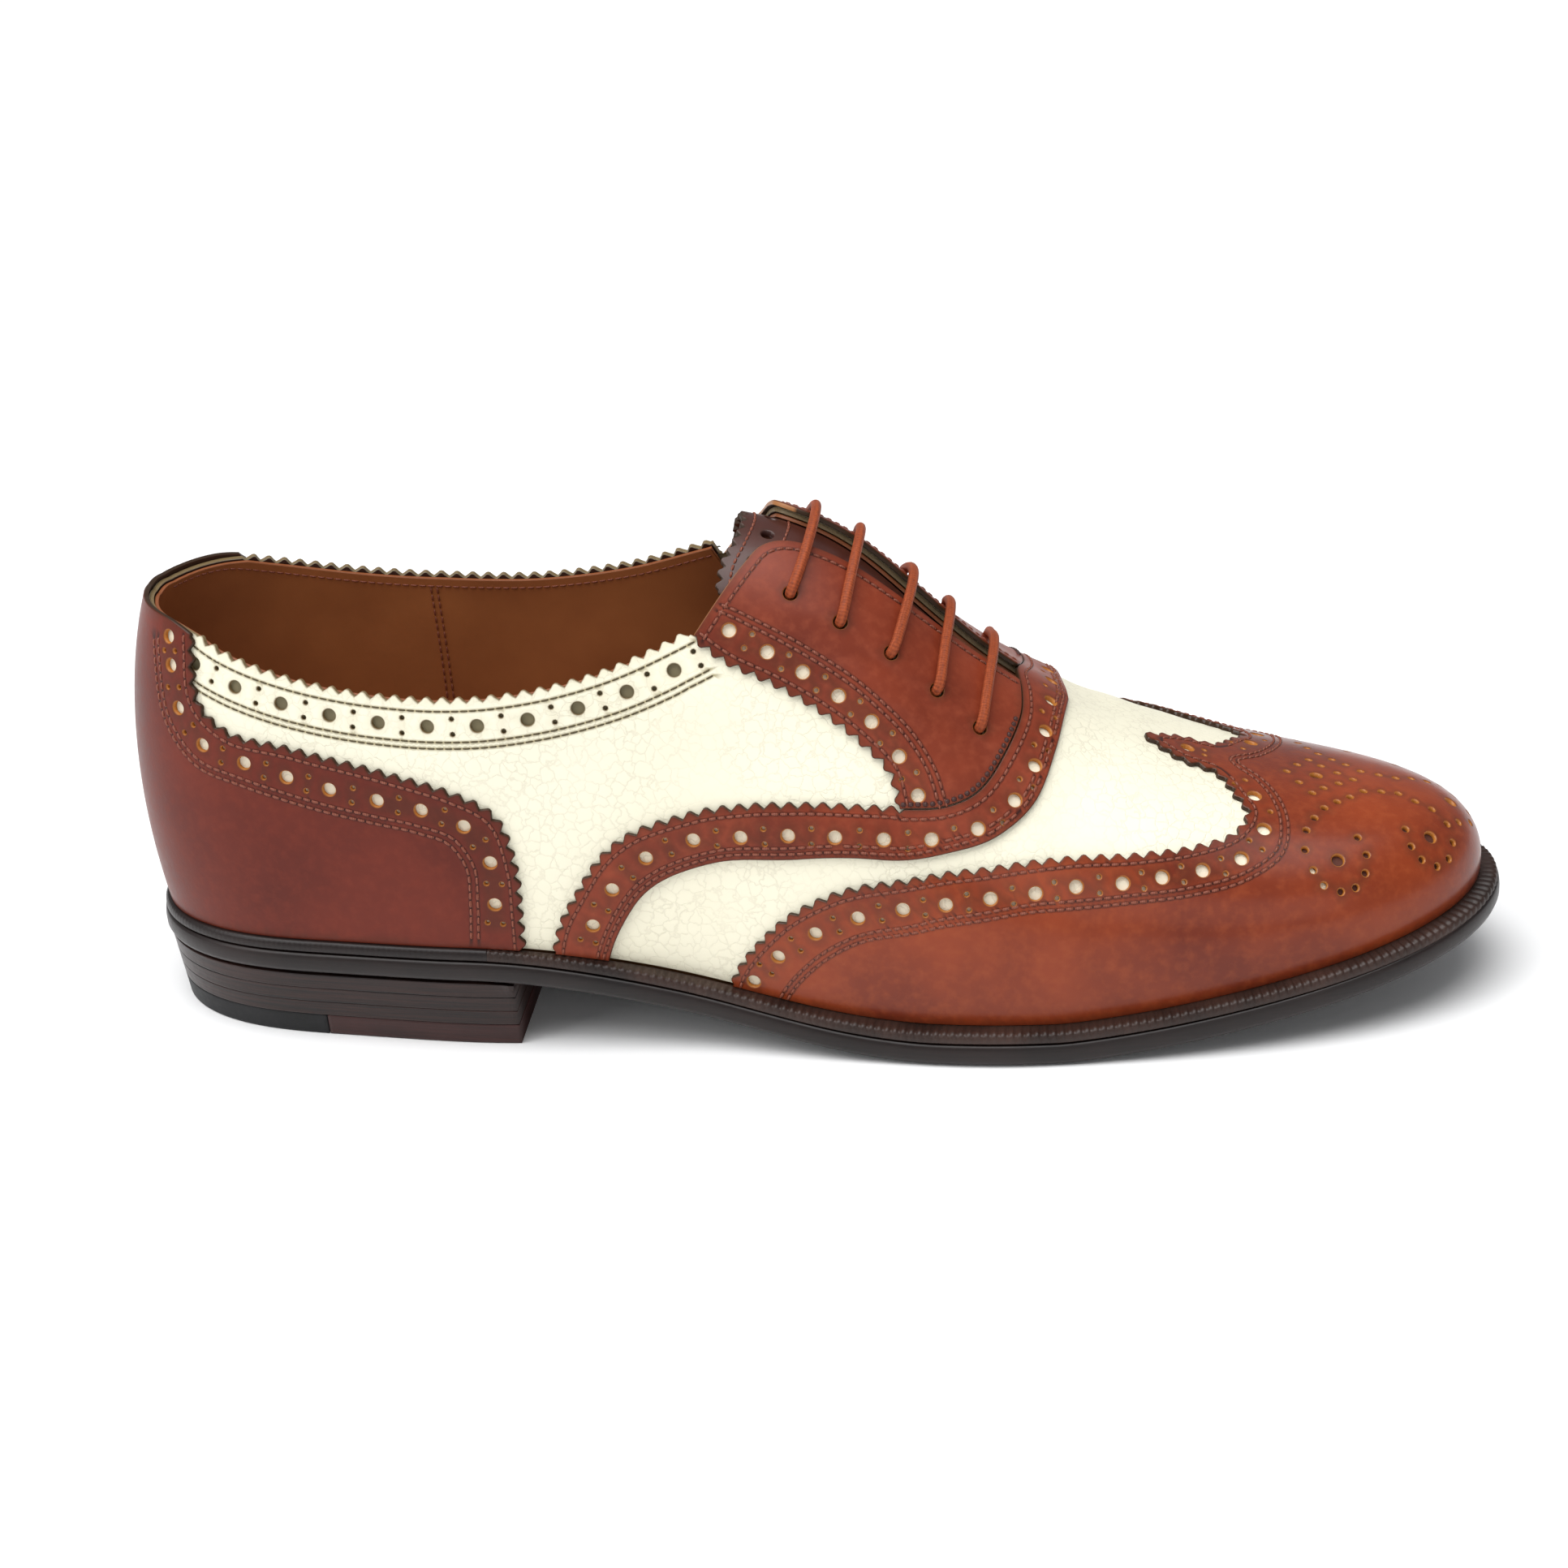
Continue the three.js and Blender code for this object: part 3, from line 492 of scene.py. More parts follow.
def circles(centres, radius, count):
    """Round holes on the leather. Each runs clockwise, so that the leather is on its left."""
    centres = np.atleast_2d(centres)
    along, across = tangents(centres)
    e1 = unit(along)
    e2 = unit(across - (across * e1).sum(-1, keepdims=True) * e1)
    loops = []
    for angle in -np.linspace(0, 2 * math.pi, count, endpoint=False):
        spoke = radius * (math.cos(angle) * e1 + math.sin(angle) * e2)
        loops.append(centres + chart_step(along, across, spoke))
    return list(np.stack(loops, 1))


def grid_points(outline, pitch):
    """A triangular grid of chart places over the outline's box."""
    low, high = outline.min(0), outline.max(0)
    rows = np.arange(low[1], high[1], pitch * 0.866)
    points = []
    for n, y in enumerate(rows):
        x = np.arange(low[0] + (n % 2) * pitch / 2, high[0], pitch)
        points.append(np.stack([x, np.full(len(x), y)], -1))
    return np.concatenate(points)


def tree_of(points):
    tree = KDTree(len(points))
    for k, (x, y) in enumerate(points):
        tree.insert((x, y, 0), k)
    tree.balance()
    return tree


def seam_places(seams):
    """Three rows of places along each seam, with how deep they lie in its groove."""
    places, depth = [], []
    for seam in seams:
        line = spread(seam, step=1.1)
        for aside, share in ((-SEAM_REACH, 0.0), (0.0, 1.0), (SEAM_REACH, 0.0)):
            places.append(moved(line, aside) if aside else line)
            depth.append(np.full(len(line), share))
    return np.concatenate(places), np.concatenate(depth)


def cut_leather(name, outline, holes, inner, outer, pitch, material, seams=(), tone=None, replaces=(),
                groove=0.16, dark_holes=0):
    """outline runs anticlockwise, each hole clockwise. inner and outer are the depths of its two faces.
    The last `dark_holes` of the holes have dark walls."""
    loops = [outline] + list(holes)
    rims = [moved(loop, -ROLL, closed=True) for loop in loops]
    rim = np.concatenate(rims)
    edge = np.concatenate(loops)
    seam_flat, seam_depth = seam_places(seams) if seams else (np.zeros((0, 2)), np.zeros(0))
    rim_tree = tree_of(rim)
    clear = lambda points, gap: np.array([rim_tree.find((x, y, 0))[2] > gap for x, y in points], bool)
    if len(seam_flat):
        keep = clear(seam_flat, 0.35)
        seam_flat, seam_depth = seam_flat[keep], seam_depth[keep]
    grid = grid_points(outline, pitch)
    grid = grid[clear(grid, 0.5 * pitch)]
    if len(seam_flat):
        seam_tree = tree_of(seam_flat)
        grid = grid[[seam_tree.find((x, y, 0))[2] > 0.6 * pitch for x, y in grid]]
    flat = np.concatenate([rim, seam_flat, grid])
    starts = np.cumsum([0] + [len(r) for r in rims])
    rings = [list(range(starts[k], starts[k + 1])) for k in range(len(rims))]
    areas = rings[:1] + [ring[::-1] for ring in rings[1:]]
    out = delaunay_2d_cdt([Vector(p) for p in flat.tolist()], [], areas, 1, 1e-6)
    corners, triangles, from_verts, from_faces = out[0], out[2], out[3], out[5]
    triangles = [t for t, source in zip(triangles, from_faces) if list(source) == [0]]
    index_of = {}
    for k, sources in enumerate(from_verts):
        if sources:
            index_of[k] = sources[0]
    used = sorted({k for t in triangles for k in t})
    extra = [k for k in used if k not in index_of]
    for n, k in enumerate(extra):
        index_of[k] = len(flat) + n
    if extra:
        flat = np.concatenate([flat, [list(corners[k]) for k in extra]])
    top = [tuple(index_of[k] for k in t) for t in triangles]
    count = len(flat)
    seam = np.zeros(count)
    seam[len(rim):len(rim) + len(seam_flat)] = seam_depth
    along, across = tangents(flat)
    normals = unit(np.cross(along, across))
    top_points = place(flat, outer - groove * seam)
    base_points = place(flat, inner)
    along, across = tangents(edge)
    edge_normal = unit(np.cross(along, across))
    upper_edge = place(edge, outer - ROLL)
    lower_edge = place(edge, inner)
    sideways = unit(upper_edge - top_points[:len(rim)] + edge_normal * ROLL)
    points = np.concatenate([top_points, base_points, upper_edge, lower_edge])
    faces = list(top) + [tuple(count + k for k in reversed(t)) for t in top]
    upper, lower = 2 * count, 2 * count + len(rim)
    for ring in rings:
        for a, b in zip(ring, ring[1:] + ring[:1]):
            faces.append((a, upper + a, upper + b, b))
            faces.append((upper + a, lower + a, lower + b, upper + b))
            faces.append((lower + a, count + a, count + b, lower + b))
    point_normals = np.concatenate([normals, -normals, unit(sideways + 0.6 * edge_normal), sideways])
    cut = np.zeros(len(points))
    bore = np.zeros(len(points))
    outer_count = len(loops[0])
    cut[upper:upper + outer_count] = 1
    cut[lower:lower + outer_count] = 1
    bore[upper + outer_count:upper + len(rim)] = 1
    bore[lower + outer_count:lower + len(rim)] = 1
    tones = np.zeros(len(points))
    if tone is not None:
        tones[upper:upper + outer_count] = tone
        tones[lower:lower + outer_count] = tone
    if dark_holes:
        dark_start = len(edge) - sum(len(hole) for hole in loops[-dark_holes:])
        for base in (upper, lower):
            tones[base + dark_start:base + len(edge)] = 1
    flesh = np.zeros(len(points))
    flesh[count:upper] = 1
    near = np.zeros(len(points))
    near[:len(rim)] = 1
    near[upper:] = 1
    # seam also sets the painted shade at the bottom of the seam grooves
    values = {"cut": cut, "bore": bore, "tone": tones, "near_edge": near, "flesh": flesh,
              "seam": np.concatenate([seam, np.zeros(len(points) - count)])}
    return finish_piece(name, points, faces, material, point_normals, values, replaces)


# %% [markdown]
# ## Stitches
# A stitch is a short length of thread that dips into the leather at both ends. They are made as one mesh
# for each colour and piece, because thousands of objects would be slow. Each is a small capsule whose
# ends are lower than its middle, laid along the seam by true length.

# %% Stitch maker
STITCH_PITCH = 1.9
STITCH_RADIUS = 0.3
# place along the stitch, share of the radius, height share
STITCH_FORM = ((-1.0, 0.35, -1.0), (-0.82, 0.85, -0.35), (-0.4, 1.0, 0.25), (0.4, 1.0, 0.25),
               (0.82, 0.85, -0.35), (1.0, 0.35, -1.0))
STITCH_SIDES = 6
STITCH_FROM_HOLE = 1.9


def stitches(name, seams, depth, material, pitch=STITCH_PITCH, radius=STITCH_RADIUS, inside=False,
             avoid=None):
    """Stitches along chart lines, at a depth from the last. None comes near the places in `avoid`."""
    points, faces, base = [], [], 0
    angles = np.linspace(0, 2 * math.pi, STITCH_SIDES, endpoint=False)
    for seam in seams:
        line = spread(seam, step=pitch)
        spots = place(line, depth)
        normal = unit(np.cross(*tangents(line)))
        if inside:
            normal = -normal
        a, b = spots[:-1], spots[1:]
        middle, reach = (a + b) / 2, (b - a) * 0.46
        up = unit(normal[:-1] + normal[1:])
        if avoid is not None:
            holes = tree_of(avoid)
            spots = (line[:-1] + line[1:]) / 2
            kept = np.array([holes.find((x, y, 0))[2] > STITCH_FROM_HOLE for x, y in spots])
            middle, reach, up = middle[kept], reach[kept], up[kept]
        beside = unit(np.cross(reach, up))
        ring = []
        for u, size, height in STITCH_FORM:
            centre = middle + reach * u + up * (height * radius)
            for angle in angles:
                offset = math.cos(angle) * beside + math.sin(angle) * up * 0.85
                ring.append(centre + offset * radius * size)
        ring = np.stack(ring, 1)
        rings = len(STITCH_FORM)
        for n in range(len(middle)):
            start = base + n * rings * STITCH_SIDES
            for r in range(rings - 1):
                for s in range(STITCH_SIDES):
                    p, t = start + r * STITCH_SIDES + s, start + r * STITCH_SIDES + (s + 1) % STITCH_SIDES
                    faces.append((p, p + STITCH_SIDES, t + STITCH_SIDES, t))
            faces.append(tuple(start + s for s in range(STITCH_SIDES)))
            faces.append(tuple(start + (rings - 1) * STITCH_SIDES + s for s in reversed(range(STITCH_SIDES))))
        points.append(ring.reshape(-1, 3))
        base += ring.shape[0] * ring.shape[1]
    return finish_piece(name, np.concatenate(points), faces, material)


# %% [markdown]
# ## Finishes
# Every finish is procedural. What several leathers share is made once as a node group with named
# sockets: a cell grain for pebbled leather, a fine grain for calf, soft mottling, the tones of cut
# edges and holes, and painted shade in seam grooves. The shader stays in each material, so its gloss can be
# set there.

# %% Node helpers
def new_group(name, inputs, outputs):
    """A shader node group. inputs and outputs are (socket type, name, default) rows."""
    group = bpy.data.node_groups.new(name, "ShaderNodeTree")
    for kind, label, default in inputs:
        socket = group.interface.new_socket(name=label, in_out="INPUT", socket_type=kind)
        socket.default_value = default
    for kind, label in outputs:
        group.interface.new_socket(name=label, in_out="OUTPUT", socket_type=kind)
    return group, group.nodes.new("NodeGroupInput"), group.nodes.new("NodeGroupOutput")


def add(tree, kind, **settings):
    """A node with its properties and input values. Inputs are given as in_Name or by position."""
    node = tree.nodes.new(kind)
    for key, value in settings.items():
        if key.startswith("in_"):
            key = key[3:]
            socket = node.inputs[int(key)] if key.isdigit() else node.inputs[key.replace("_", " ")]
            if isinstance(value, bpy.types.NodeSocket):
                tree.links.new(value, socket)
            else:
                socket.default_value = value
        else:
            setattr(node, key, value)
    return node


def math_node(tree, operation, first, second=0.0, clamp=False):
    node = add(tree, "ShaderNodeMath", operation=operation, use_clamp=clamp, in_0=first, in_1=second)
    return node.outputs[0]


def ramp(tree, value, low, high, to_low=0.0, to_high=1.0):
    """The value, scaled from low..high to to_low..to_high."""
    node = add(tree, "ShaderNodeMapRange", in_Value=value)
    for socket, number in (("From Min", low), ("From Max", high), ("To Min", to_low), ("To Max", to_high)):
        node.inputs[socket].default_value = number
    return node.outputs[0]


def mix_colour(tree, factor, first, second):
    node = tree.nodes.new("ShaderNodeMix")
    node.data_type = "RGBA"
    for index, value in ((0, factor), (6, first), (7, second)):
        if isinstance(value, bpy.types.NodeSocket):
            tree.links.new(value, node.inputs[index])
        else:
            node.inputs[index].default_value = value
    return node.outputs[2]


def in_mm(tree):
    """The place on the object, in mm."""
    place_node = add(tree, "ShaderNodeTexCoord")
    scaled = add(tree, "ShaderNodeVectorMath", operation="SCALE", in_0=place_node.outputs["Object"])
    scaled.inputs["Scale"].default_value = 1000
    return scaled.outputs[0]


def attribute(tree, name):
    return add(tree, "ShaderNodeAttribute", attribute_name=name).outputs["Fac"]


def srgb(r, g, b):
    """A colour given as 0 to 255, made linear."""
    parts = []
    for value in (r / 255, g / 255, b / 255):
        parts.append(value / 12.92 if value <= 0.04045 else ((value + 0.055) / 1.055) ** 2.4)
    return (*parts, 1.0)


# %% Shared effects
def make_edge_tones():
    """Leather colour with its cut edges and the walls of its holes in their own tones, and painted shade in
    its seam grooves.
    """
    group, given, result = new_group("edge_tones", [
        ("NodeSocketColor", "Leather", (0.5, 0.5, 0.5, 1)),
        ("NodeSocketColor", "Cut edge", (0.1, 0.05, 0.02, 1)),
        ("NodeSocketColor", "Light edge", (0.4, 0.25, 0.12, 1)),
        ("NodeSocketColor", "Hole wall", (0.4, 0.25, 0.12, 1)),
        # Seam: painted shade, the colour that darkens the bottom of a seam's groove
        ("NodeSocketColor", "Seam", (0.05, 0.02, 0.01, 1)),
        ("NodeSocketColor", "Flesh side", (0.045, 0.016, 0.009, 1)),
        ("NodeSocketFloat", "Burnish", 0.3),
    ], [("NodeSocketColor", "Color"), ("NodeSocketFloat", "Edge")])
    near = attribute(group, "near_edge")
    burnish = math_node(group, "MULTIPLY", near, given.outputs["Burnish"])
    colour = mix_colour(group, burnish, given.outputs["Leather"], given.outputs["Cut edge"])
    # painted shade along the bottom of each seam groove
    colour = mix_colour(group, attribute(group, "seam"), colour, given.outputs["Seam"])
    raw = mix_colour(group, attribute(group, "tone"), given.outputs["Cut edge"], given.outputs["Light edge"])
    colour = mix_colour(group, attribute(group, "cut"), colour, raw)
    colour = mix_colour(group, attribute(group, "flesh"), colour, given.outputs["Flesh side"])
    wall = mix_colour(group, attribute(group, "tone"), given.outputs["Hole wall"], given.outputs["Cut edge"])
    colour = mix_colour(group, attribute(group, "bore"), colour, wall)
    group.links.new(colour, result.inputs["Color"])
    group.links.new(near, result.inputs["Edge"])
    return group


def make_mottling():
    """Two sizes of soft cloudiness, from 0 to 1."""
    group, given, result = new_group("mottling", [
        ("NodeSocketFloat", "Cloud size", 30.0),
        ("NodeSocketFloat", "Fleck size", 3.0),
    ], [("NodeSocketFloat", "Clouds"), ("NodeSocketFloat", "Flecks")])
    where = in_mm(group)
    for size, detail, name in (("Cloud size", 3.0, "Clouds"), ("Fleck size", 5.0, "Flecks")):
        scale = math_node(group, "DIVIDE", 1.0, given.outputs[size])
        noise = add(group, "ShaderNodeTexNoise", in_Vector=where, in_Detail=detail, in_Roughness=0.55)
        group.links.new(scale, noise.inputs["Scale"])
        group.links.new(noise.outputs["Fac"], result.inputs[name])
    return group


def make_fine_grain():
    """The grain of smooth calf: tiny cells, hair pores and faint drag lines."""
    group, given, result = new_group("fine_grain", [
        ("NodeSocketFloat", "Cell size", 0.55),
        ("NodeSocketFloat", "Pore depth", 0.6),
    ], [("NodeSocketFloat", "Height")])
    where = in_mm(group)
    scale = math_node(group, "DIVIDE", 1.0, given.outputs["Cell size"])
    cells = add(group, "ShaderNodeTexVoronoi", feature="SMOOTH_F1", in_Vector=where)
    group.links.new(scale, cells.inputs["Scale"])
    soft = add(group, "ShaderNodeTexNoise", in_Vector=where, in_Scale=0.9, in_Detail=6.0, in_Roughness=0.6)
    pores = math_node(group, "MULTIPLY", cells.outputs["Distance"], given.outputs["Pore depth"])
    height = math_node(group, "ADD", pores, soft.outputs["Fac"])
    group.links.new(height, result.inputs["Height"])
    return group


def make_pebble_grain():
    """Printed pebble leather: plates with narrow soft creases between them."""
    group, given, result = new_group("pebble_grain", [
        ("NodeSocketFloat", "Plate size", 3.0),
        ("NodeSocketFloat", "Crease width", 0.12),
        ("NodeSocketFloat", "Unevenness", 0.5),
    ], [("NodeSocketFloat", "Height"), ("NodeSocketFloat", "Crease")])
    where = in_mm(group)
    bent = add(group, "ShaderNodeTexNoise", in_Vector=where, in_Scale=0.6, in_Detail=3.0)
    shift = add(group, "ShaderNodeVectorMath", operation="SCALE", in_0=bent.outputs["Color"])
    shift.inputs["Scale"].default_value = 2.4
    warped = add(group, "ShaderNodeVectorMath", operation="ADD", in_0=where, in_1=shift.outputs[0]).outputs[0]
    scale = math_node(group, "DIVIDE", 1.0, given.outputs["Plate size"])
    edge = add(group, "ShaderNodeTexVoronoi", feature="DISTANCE_TO_EDGE", in_Vector=warped)
    plate = add(group, "ShaderNodeTexVoronoi", feature="F1", in_Vector=warped)
    group.links.new(scale, edge.inputs["Scale"])
    group.links.new(scale, plate.inputs["Scale"])
    crease = add(group, "ShaderNodeMapRange", interpolation_type="SMOOTHSTEP")
    group.links.new(edge.outputs["Distance"], crease.inputs["Value"])
    group.links.new(given.outputs["Crease width"], crease.inputs["From Max"])
    crease.inputs["To Min"].default_value = 1.0
    crease.inputs["To Max"].default_value = 0.0
    fade = add(group, "ShaderNodeTexNoise", in_Vector=where, in_Scale=0.05, in_Detail=2.0).outputs["Fac"]
    uneven = math_node(group, "SUBTRACT", fade, 0.5)
    uneven = math_node(group, "MULTIPLY", uneven, given.outputs["Unevenness"])
    strength = math_node(group, "ADD", 0.8, math_node(group, "MULTIPLY", uneven, 4.0), clamp=True)
    mask = math_node(group, "MULTIPLY", crease.outputs[0], strength)
    dome = math_node(group, "MULTIPLY", plate.outputs["Distance"], -0.35)
    dome = math_node(group, "MULTIPLY", dome, strength)
    height = math_node(group, "SUBTRACT", dome, mask)
    group.links.new(height, result.inputs["Height"])
    group.links.new(mask, result.inputs["Crease"])
    return group


EDGE_TONES = make_edge_tones()
MOTTLING = make_mottling()
FINE_GRAIN = make_fine_grain()
PEBBLE_GRAIN = make_pebble_grain()


def use_group(tree, group, **values):
    node = tree.nodes.new("ShaderNodeGroup")
    node.node_tree = group
    for key, value in values.items():
        socket = node.inputs[key.replace("_", " ")]
        if isinstance(value, bpy.types.NodeSocket):
            tree.links.new(value, socket)
        else:
            socket.default_value = value
    return node


def new_material(name, **settings):
    """A material with its Principled shader, whose constant sockets are set directly."""
    material = bpy.data.materials.new(name)
    material.use_nodes = True
    tree = material.node_tree
    shader = tree.nodes["Principled BSDF"]
    for key, value in settings.items():
        shader.inputs[key.replace("_", " ")].default_value = value
    return material, tree, shader


def set_roughness(tree, shader, value, low, high):
    tree.links.new(ramp(tree, value, 0.0, 1.0, low, high), shader.inputs["Roughness"])


def bump(tree, shader, height, strength, distance):
    node = add(tree, "ShaderNodeBump", in_Strength=strength, in_Distance=distance * MM)
    tree.links.new(height, node.inputs["Height"])
    tree.links.new(node.outputs["Normal"], shader.inputs["Normal"])
    return node


# %% [markdown]
# ## Calf
# Three calf finishes share one function. Hand-finished calf isn't one brown: soft clouds move between a
# deep and a warm tone, small flecks add a brighter one, and every cut edge is darker or paler than the
# skin. The toe gets more coat than the rest, since it was polished more. The counter's calf is the same
# brown made darker, as painted shade on the heel's upright side.

# %% Calf leathers
def calf(name, deep, warm, bright, cut_edge, light_edge, hole_wall, seam, gloss=0.36, coat=0.1):
    """Smooth hand-finished calf: three tones blended by its clouds, glossy, with a fine grain."""
    material, tree, shader = new_material(name, Coat_Weight=coat, Coat_Roughness=0.2, Coat_IOR=1.4,
                                          Specular_IOR_Level=0.22)
    clouds = use_group(tree, MOTTLING, Cloud_size=34.0, Fleck_size=2.2)
    tones = ramp(tree, clouds.outputs["Clouds"], 0.32, 0.66)
    colour = mix_colour(tree, tones, deep, warm)
    flecks = ramp(tree, clouds.outputs["Flecks"], 0.45, 0.8)
    colour = mix_colour(tree, math_node(tree, "MULTIPLY", flecks, 0.35), colour, bright)
    edged = use_group(tree, EDGE_TONES, Leather=colour, Cut_edge=cut_edge, Light_edge=light_edge,
                      Hole_wall=hole_wall, Seam=seam, Burnish=0.3)
    tree.links.new(edged.outputs["Color"], shader.inputs["Base Color"])
    set_roughness(tree, shader, clouds.outputs["Flecks"], gloss - 0.06, gloss + 0.12)
    grain = use_group(tree, FINE_GRAIN, Cell_size=0.6, Pore_depth=0.5)
    bump(tree, shader, grain.outputs["Height"], 0.35, 0.06)
    return material


CUT_DARK = srgb(52, 34, 18)
CUT_TAN = srgb(160, 108, 66)
HOLE_TAN = srgb(176, 112, 48)
# the dark seam colour is painted shade for the bottom of the seam grooves
SEAM_GROOVE_SHADE = srgb(40, 14, 9)
BROWN_CALF = calf("brown_calf", srgb(100, 38, 23), srgb(140, 59, 35), srgb(160, 78, 50), CUT_DARK, CUT_TAN,
                  HOLE_TAN, SEAM_GROOVE_SHADE, coat=0.06)
# The counter's calf is the brown calf made darker: painted shade on the heel's upright side.
COUNTER_CALF_SHADED = calf("counter_calf_painted_shade", srgb(88, 28, 16), srgb(108, 38, 22), srgb(128, 50, 31), CUT_DARK, CUT_TAN,
                    HOLE_TAN, SEAM_GROOVE_SHADE, coat=0.06)
TOE_CALF = calf("toe_calf", srgb(104, 37, 18), srgb(142, 58, 25), srgb(166, 80, 40), CUT_DARK, CUT_TAN,
                HOLE_TAN, SEAM_GROOVE_SHADE, gloss=0.3, coat=0.3)


# %% [markdown]
# ## Cream
# The cream leather is pebbled: plates of about 3 mm with soft creases between them. The creases carry a
# little soil and are strong in some places and nearly gone in others.

# %% Pebbled cream leather
def cream_leather():
    material, tree, shader = new_material("cream_pebble", Coat_Weight=0.08, Coat_Roughness=0.3)
    grain = use_group(tree, PEBBLE_GRAIN, Plate_size=2.7, Crease_width=0.075, Unevenness=0.8)
    clouds = use_group(tree, MOTTLING, Cloud_size=45.0, Fleck_size=5.0)
    colour = mix_colour(tree, clouds.outputs["Clouds"], srgb(246, 242, 221), srgb(238, 232, 206))
    soil = math_node(tree, "MULTIPLY", grain.outputs["Crease"], 0.34)
    colour = mix_colour(tree, soil, colour, srgb(204, 196, 172))
    # its Seam colour is painted shade in the cream's seam grooves
    edged = use_group(tree, EDGE_TONES, Leather=colour, Cut_edge=srgb(176, 160, 120), Light_edge=CUT_TAN,
                      Hole_wall=srgb(120, 100, 66), Seam=srgb(160, 146, 104), Burnish=0.15)
    tree.links.new(edged.outputs["Color"], shader.inputs["Base Color"])
    set_roughness(tree, shader, clouds.outputs["Flecks"], 0.42, 0.6)
    bump(tree, shader, grain.outputs["Height"], 0.4, 0.16)
    return material


CREAM = cream_leather()


# %% [markdown]
# ## Lining and threads
# Matt leathers line the inside and lie behind the punched holes. Threads get their twist from a wave.

# %% Lining and threads
def plain_leather(name, deep, light, roughness, cut_edge, coat=0.0):
    """A matt leather, for lining, sock and backings."""
    material, tree, shader = new_material(name, Coat_Weight=coat)
    clouds = use_group(tree, MOTTLING, Cloud_size=20.0, Fleck_size=1.6)
    colour = mix_colour(tree, clouds.outputs["Clouds"], deep, light)
    # Seam=deep is painted shade in the seam grooves
    edged = use_group(tree, EDGE_TONES, Leather=colour, Cut_edge=cut_edge, Light_edge=light, Hole_wall=deep,
                      Seam=deep, Flesh_side=colour, Burnish=0.25)
    tree.links.new(edged.outputs["Color"], shader.inputs["Base Color"])
    set_roughness(tree, shader, clouds.outputs["Flecks"], roughness - 0.08, roughness + 0.1)
    grain = use_group(tree, FINE_GRAIN, Cell_size=0.45, Pore_depth=0.4)
    bump(tree, shader, grain.outputs["Height"], 0.3, 0.05)
    return material


def thread(name, colour, shade):
    """Waxed sewing thread with its twist."""
    material, tree, shader = new_material(name)
    wave = add(tree, "ShaderNodeTexWave", in_Vector=in_mm(tree), in_Scale=0.9, in_Distortion=2.0)
    tree.links.new(mix_colour(tree, wave.outputs["Fac"], colour, shade), shader.inputs["Base Color"])
    set_roughness(tree, shader, wave.outputs["Fac"], 0.45, 0.65)
    bump(tree, shader, wave.outputs["Fac"], 0.4, 0.05)
    return material


LINING = plain_leather("lining_calf", srgb(136, 75, 38), srgb(176, 106, 58), 0.5, srgb(80, 40, 22))
SOCK = plain_leather("sock_leather", srgb(128, 82, 46), srgb(156, 104, 62), 0.55, srgb(90, 50, 28))
# The tongue's near-black brown is painted shade: brown tongue leather darkened as if in the shade under the
# slit.
TONGUE_SHADED_LEATHER = plain_leather("tongue_calf_painted_shade", srgb(56, 24, 17), srgb(82, 36, 24), 0.42, CUT_DARK, coat=0.1)
BACKING = plain_leather("punch_backing", srgb(128, 118, 88), srgb(152, 142, 110), 0.7, srgb(90, 80, 56))
TOE_BACKING = plain_leather("toe_punch_backing", srgb(70, 32, 20), srgb(92, 44, 28), 0.7, srgb(40, 20, 12))
BROWN_THREAD = thread("brown_thread", srgb(142, 76, 52), srgb(104, 48, 32))
DARK_THREAD = thread("dark_thread", srgb(92, 80, 48), srgb(62, 52, 30))
SEAM_THREAD = thread("seam_thread", srgb(74, 34, 26), srgb(48, 20, 16))

# %% [markdown]
# ## The pattern's lines
# Each table is one line of the shoe, a few places long: edges, rows of holes and seams. Places along the
# ridge and girths are shares of the last's length and of the instep height.

# %% Pattern tables
# at: share of the length along the ridge. down: girth share from the ridge, up: from the feather line.
TOPLINE_AT = (0.000, 0.040, 0.080, 0.140, 0.210, 0.290, 0.370, 0.436, 0.470)
TOPLINE_UP = {
    LATERAL: (0.820, 0.803, 0.745, 0.684, 0.650, 0.655, 0.742, 0.879, 0.965),
    MEDIAL: (0.820, 0.815, 0.780, 0.738, 0.708, 0.702, 0.785, 0.915, 0.990),
}
FACING_REAR = {
    LATERAL: ((0.439, 0.370), (0.458, 0.266), (0.474, 0.180), (0.484, 0.130), (0.496, 0.103), (0.511, 0.091)),
    MEDIAL: ((0.439, 0.370), (0.458, 0.266), (0.474, 0.180), (0.482, 0.115), (0.490, 0.066), (0.505, 0.045)),
}
SLIT = {
    LATERAL: ((0.524, 0.090), (0.575, 0.086), (0.620, 0.067), (0.650, 0.053), (0.664, 0.050)),
    MEDIAL: ((0.524, 0.043), (0.575, 0.041), (0.620, 0.038), (0.650, 0.036), (0.664, 0.035)),
}
FACING_LOW = ((0.583, 0.598), (0.576, 0.531), (0.556, 0.505), (0.531, 0.481), (0.494, 0.447), (0.462, 0.419),
              (0.439, 0.380))
FACING_HOLES = ((0.464, 0.345), (0.491, 0.378), (0.516, 0.403), (0.541, 0.426), (0.564, 0.443),
                (0.583, 0.479), (0.596, 0.536))
FACING_SEAM = ((0.457, 0.298), (0.468, 0.306), (0.484, 0.322), (0.527, 0.361), (0.565, 0.389), (0.590, 0.413),
               (0.605, 0.454), (0.614, 0.522))
THROAT_SEAM = ((0.664, 0.000), (0.668, 0.090), (0.668, 0.172), (0.657, 0.302), (0.639, 0.426),
               (0.614, 0.520), (0.583, 0.600))
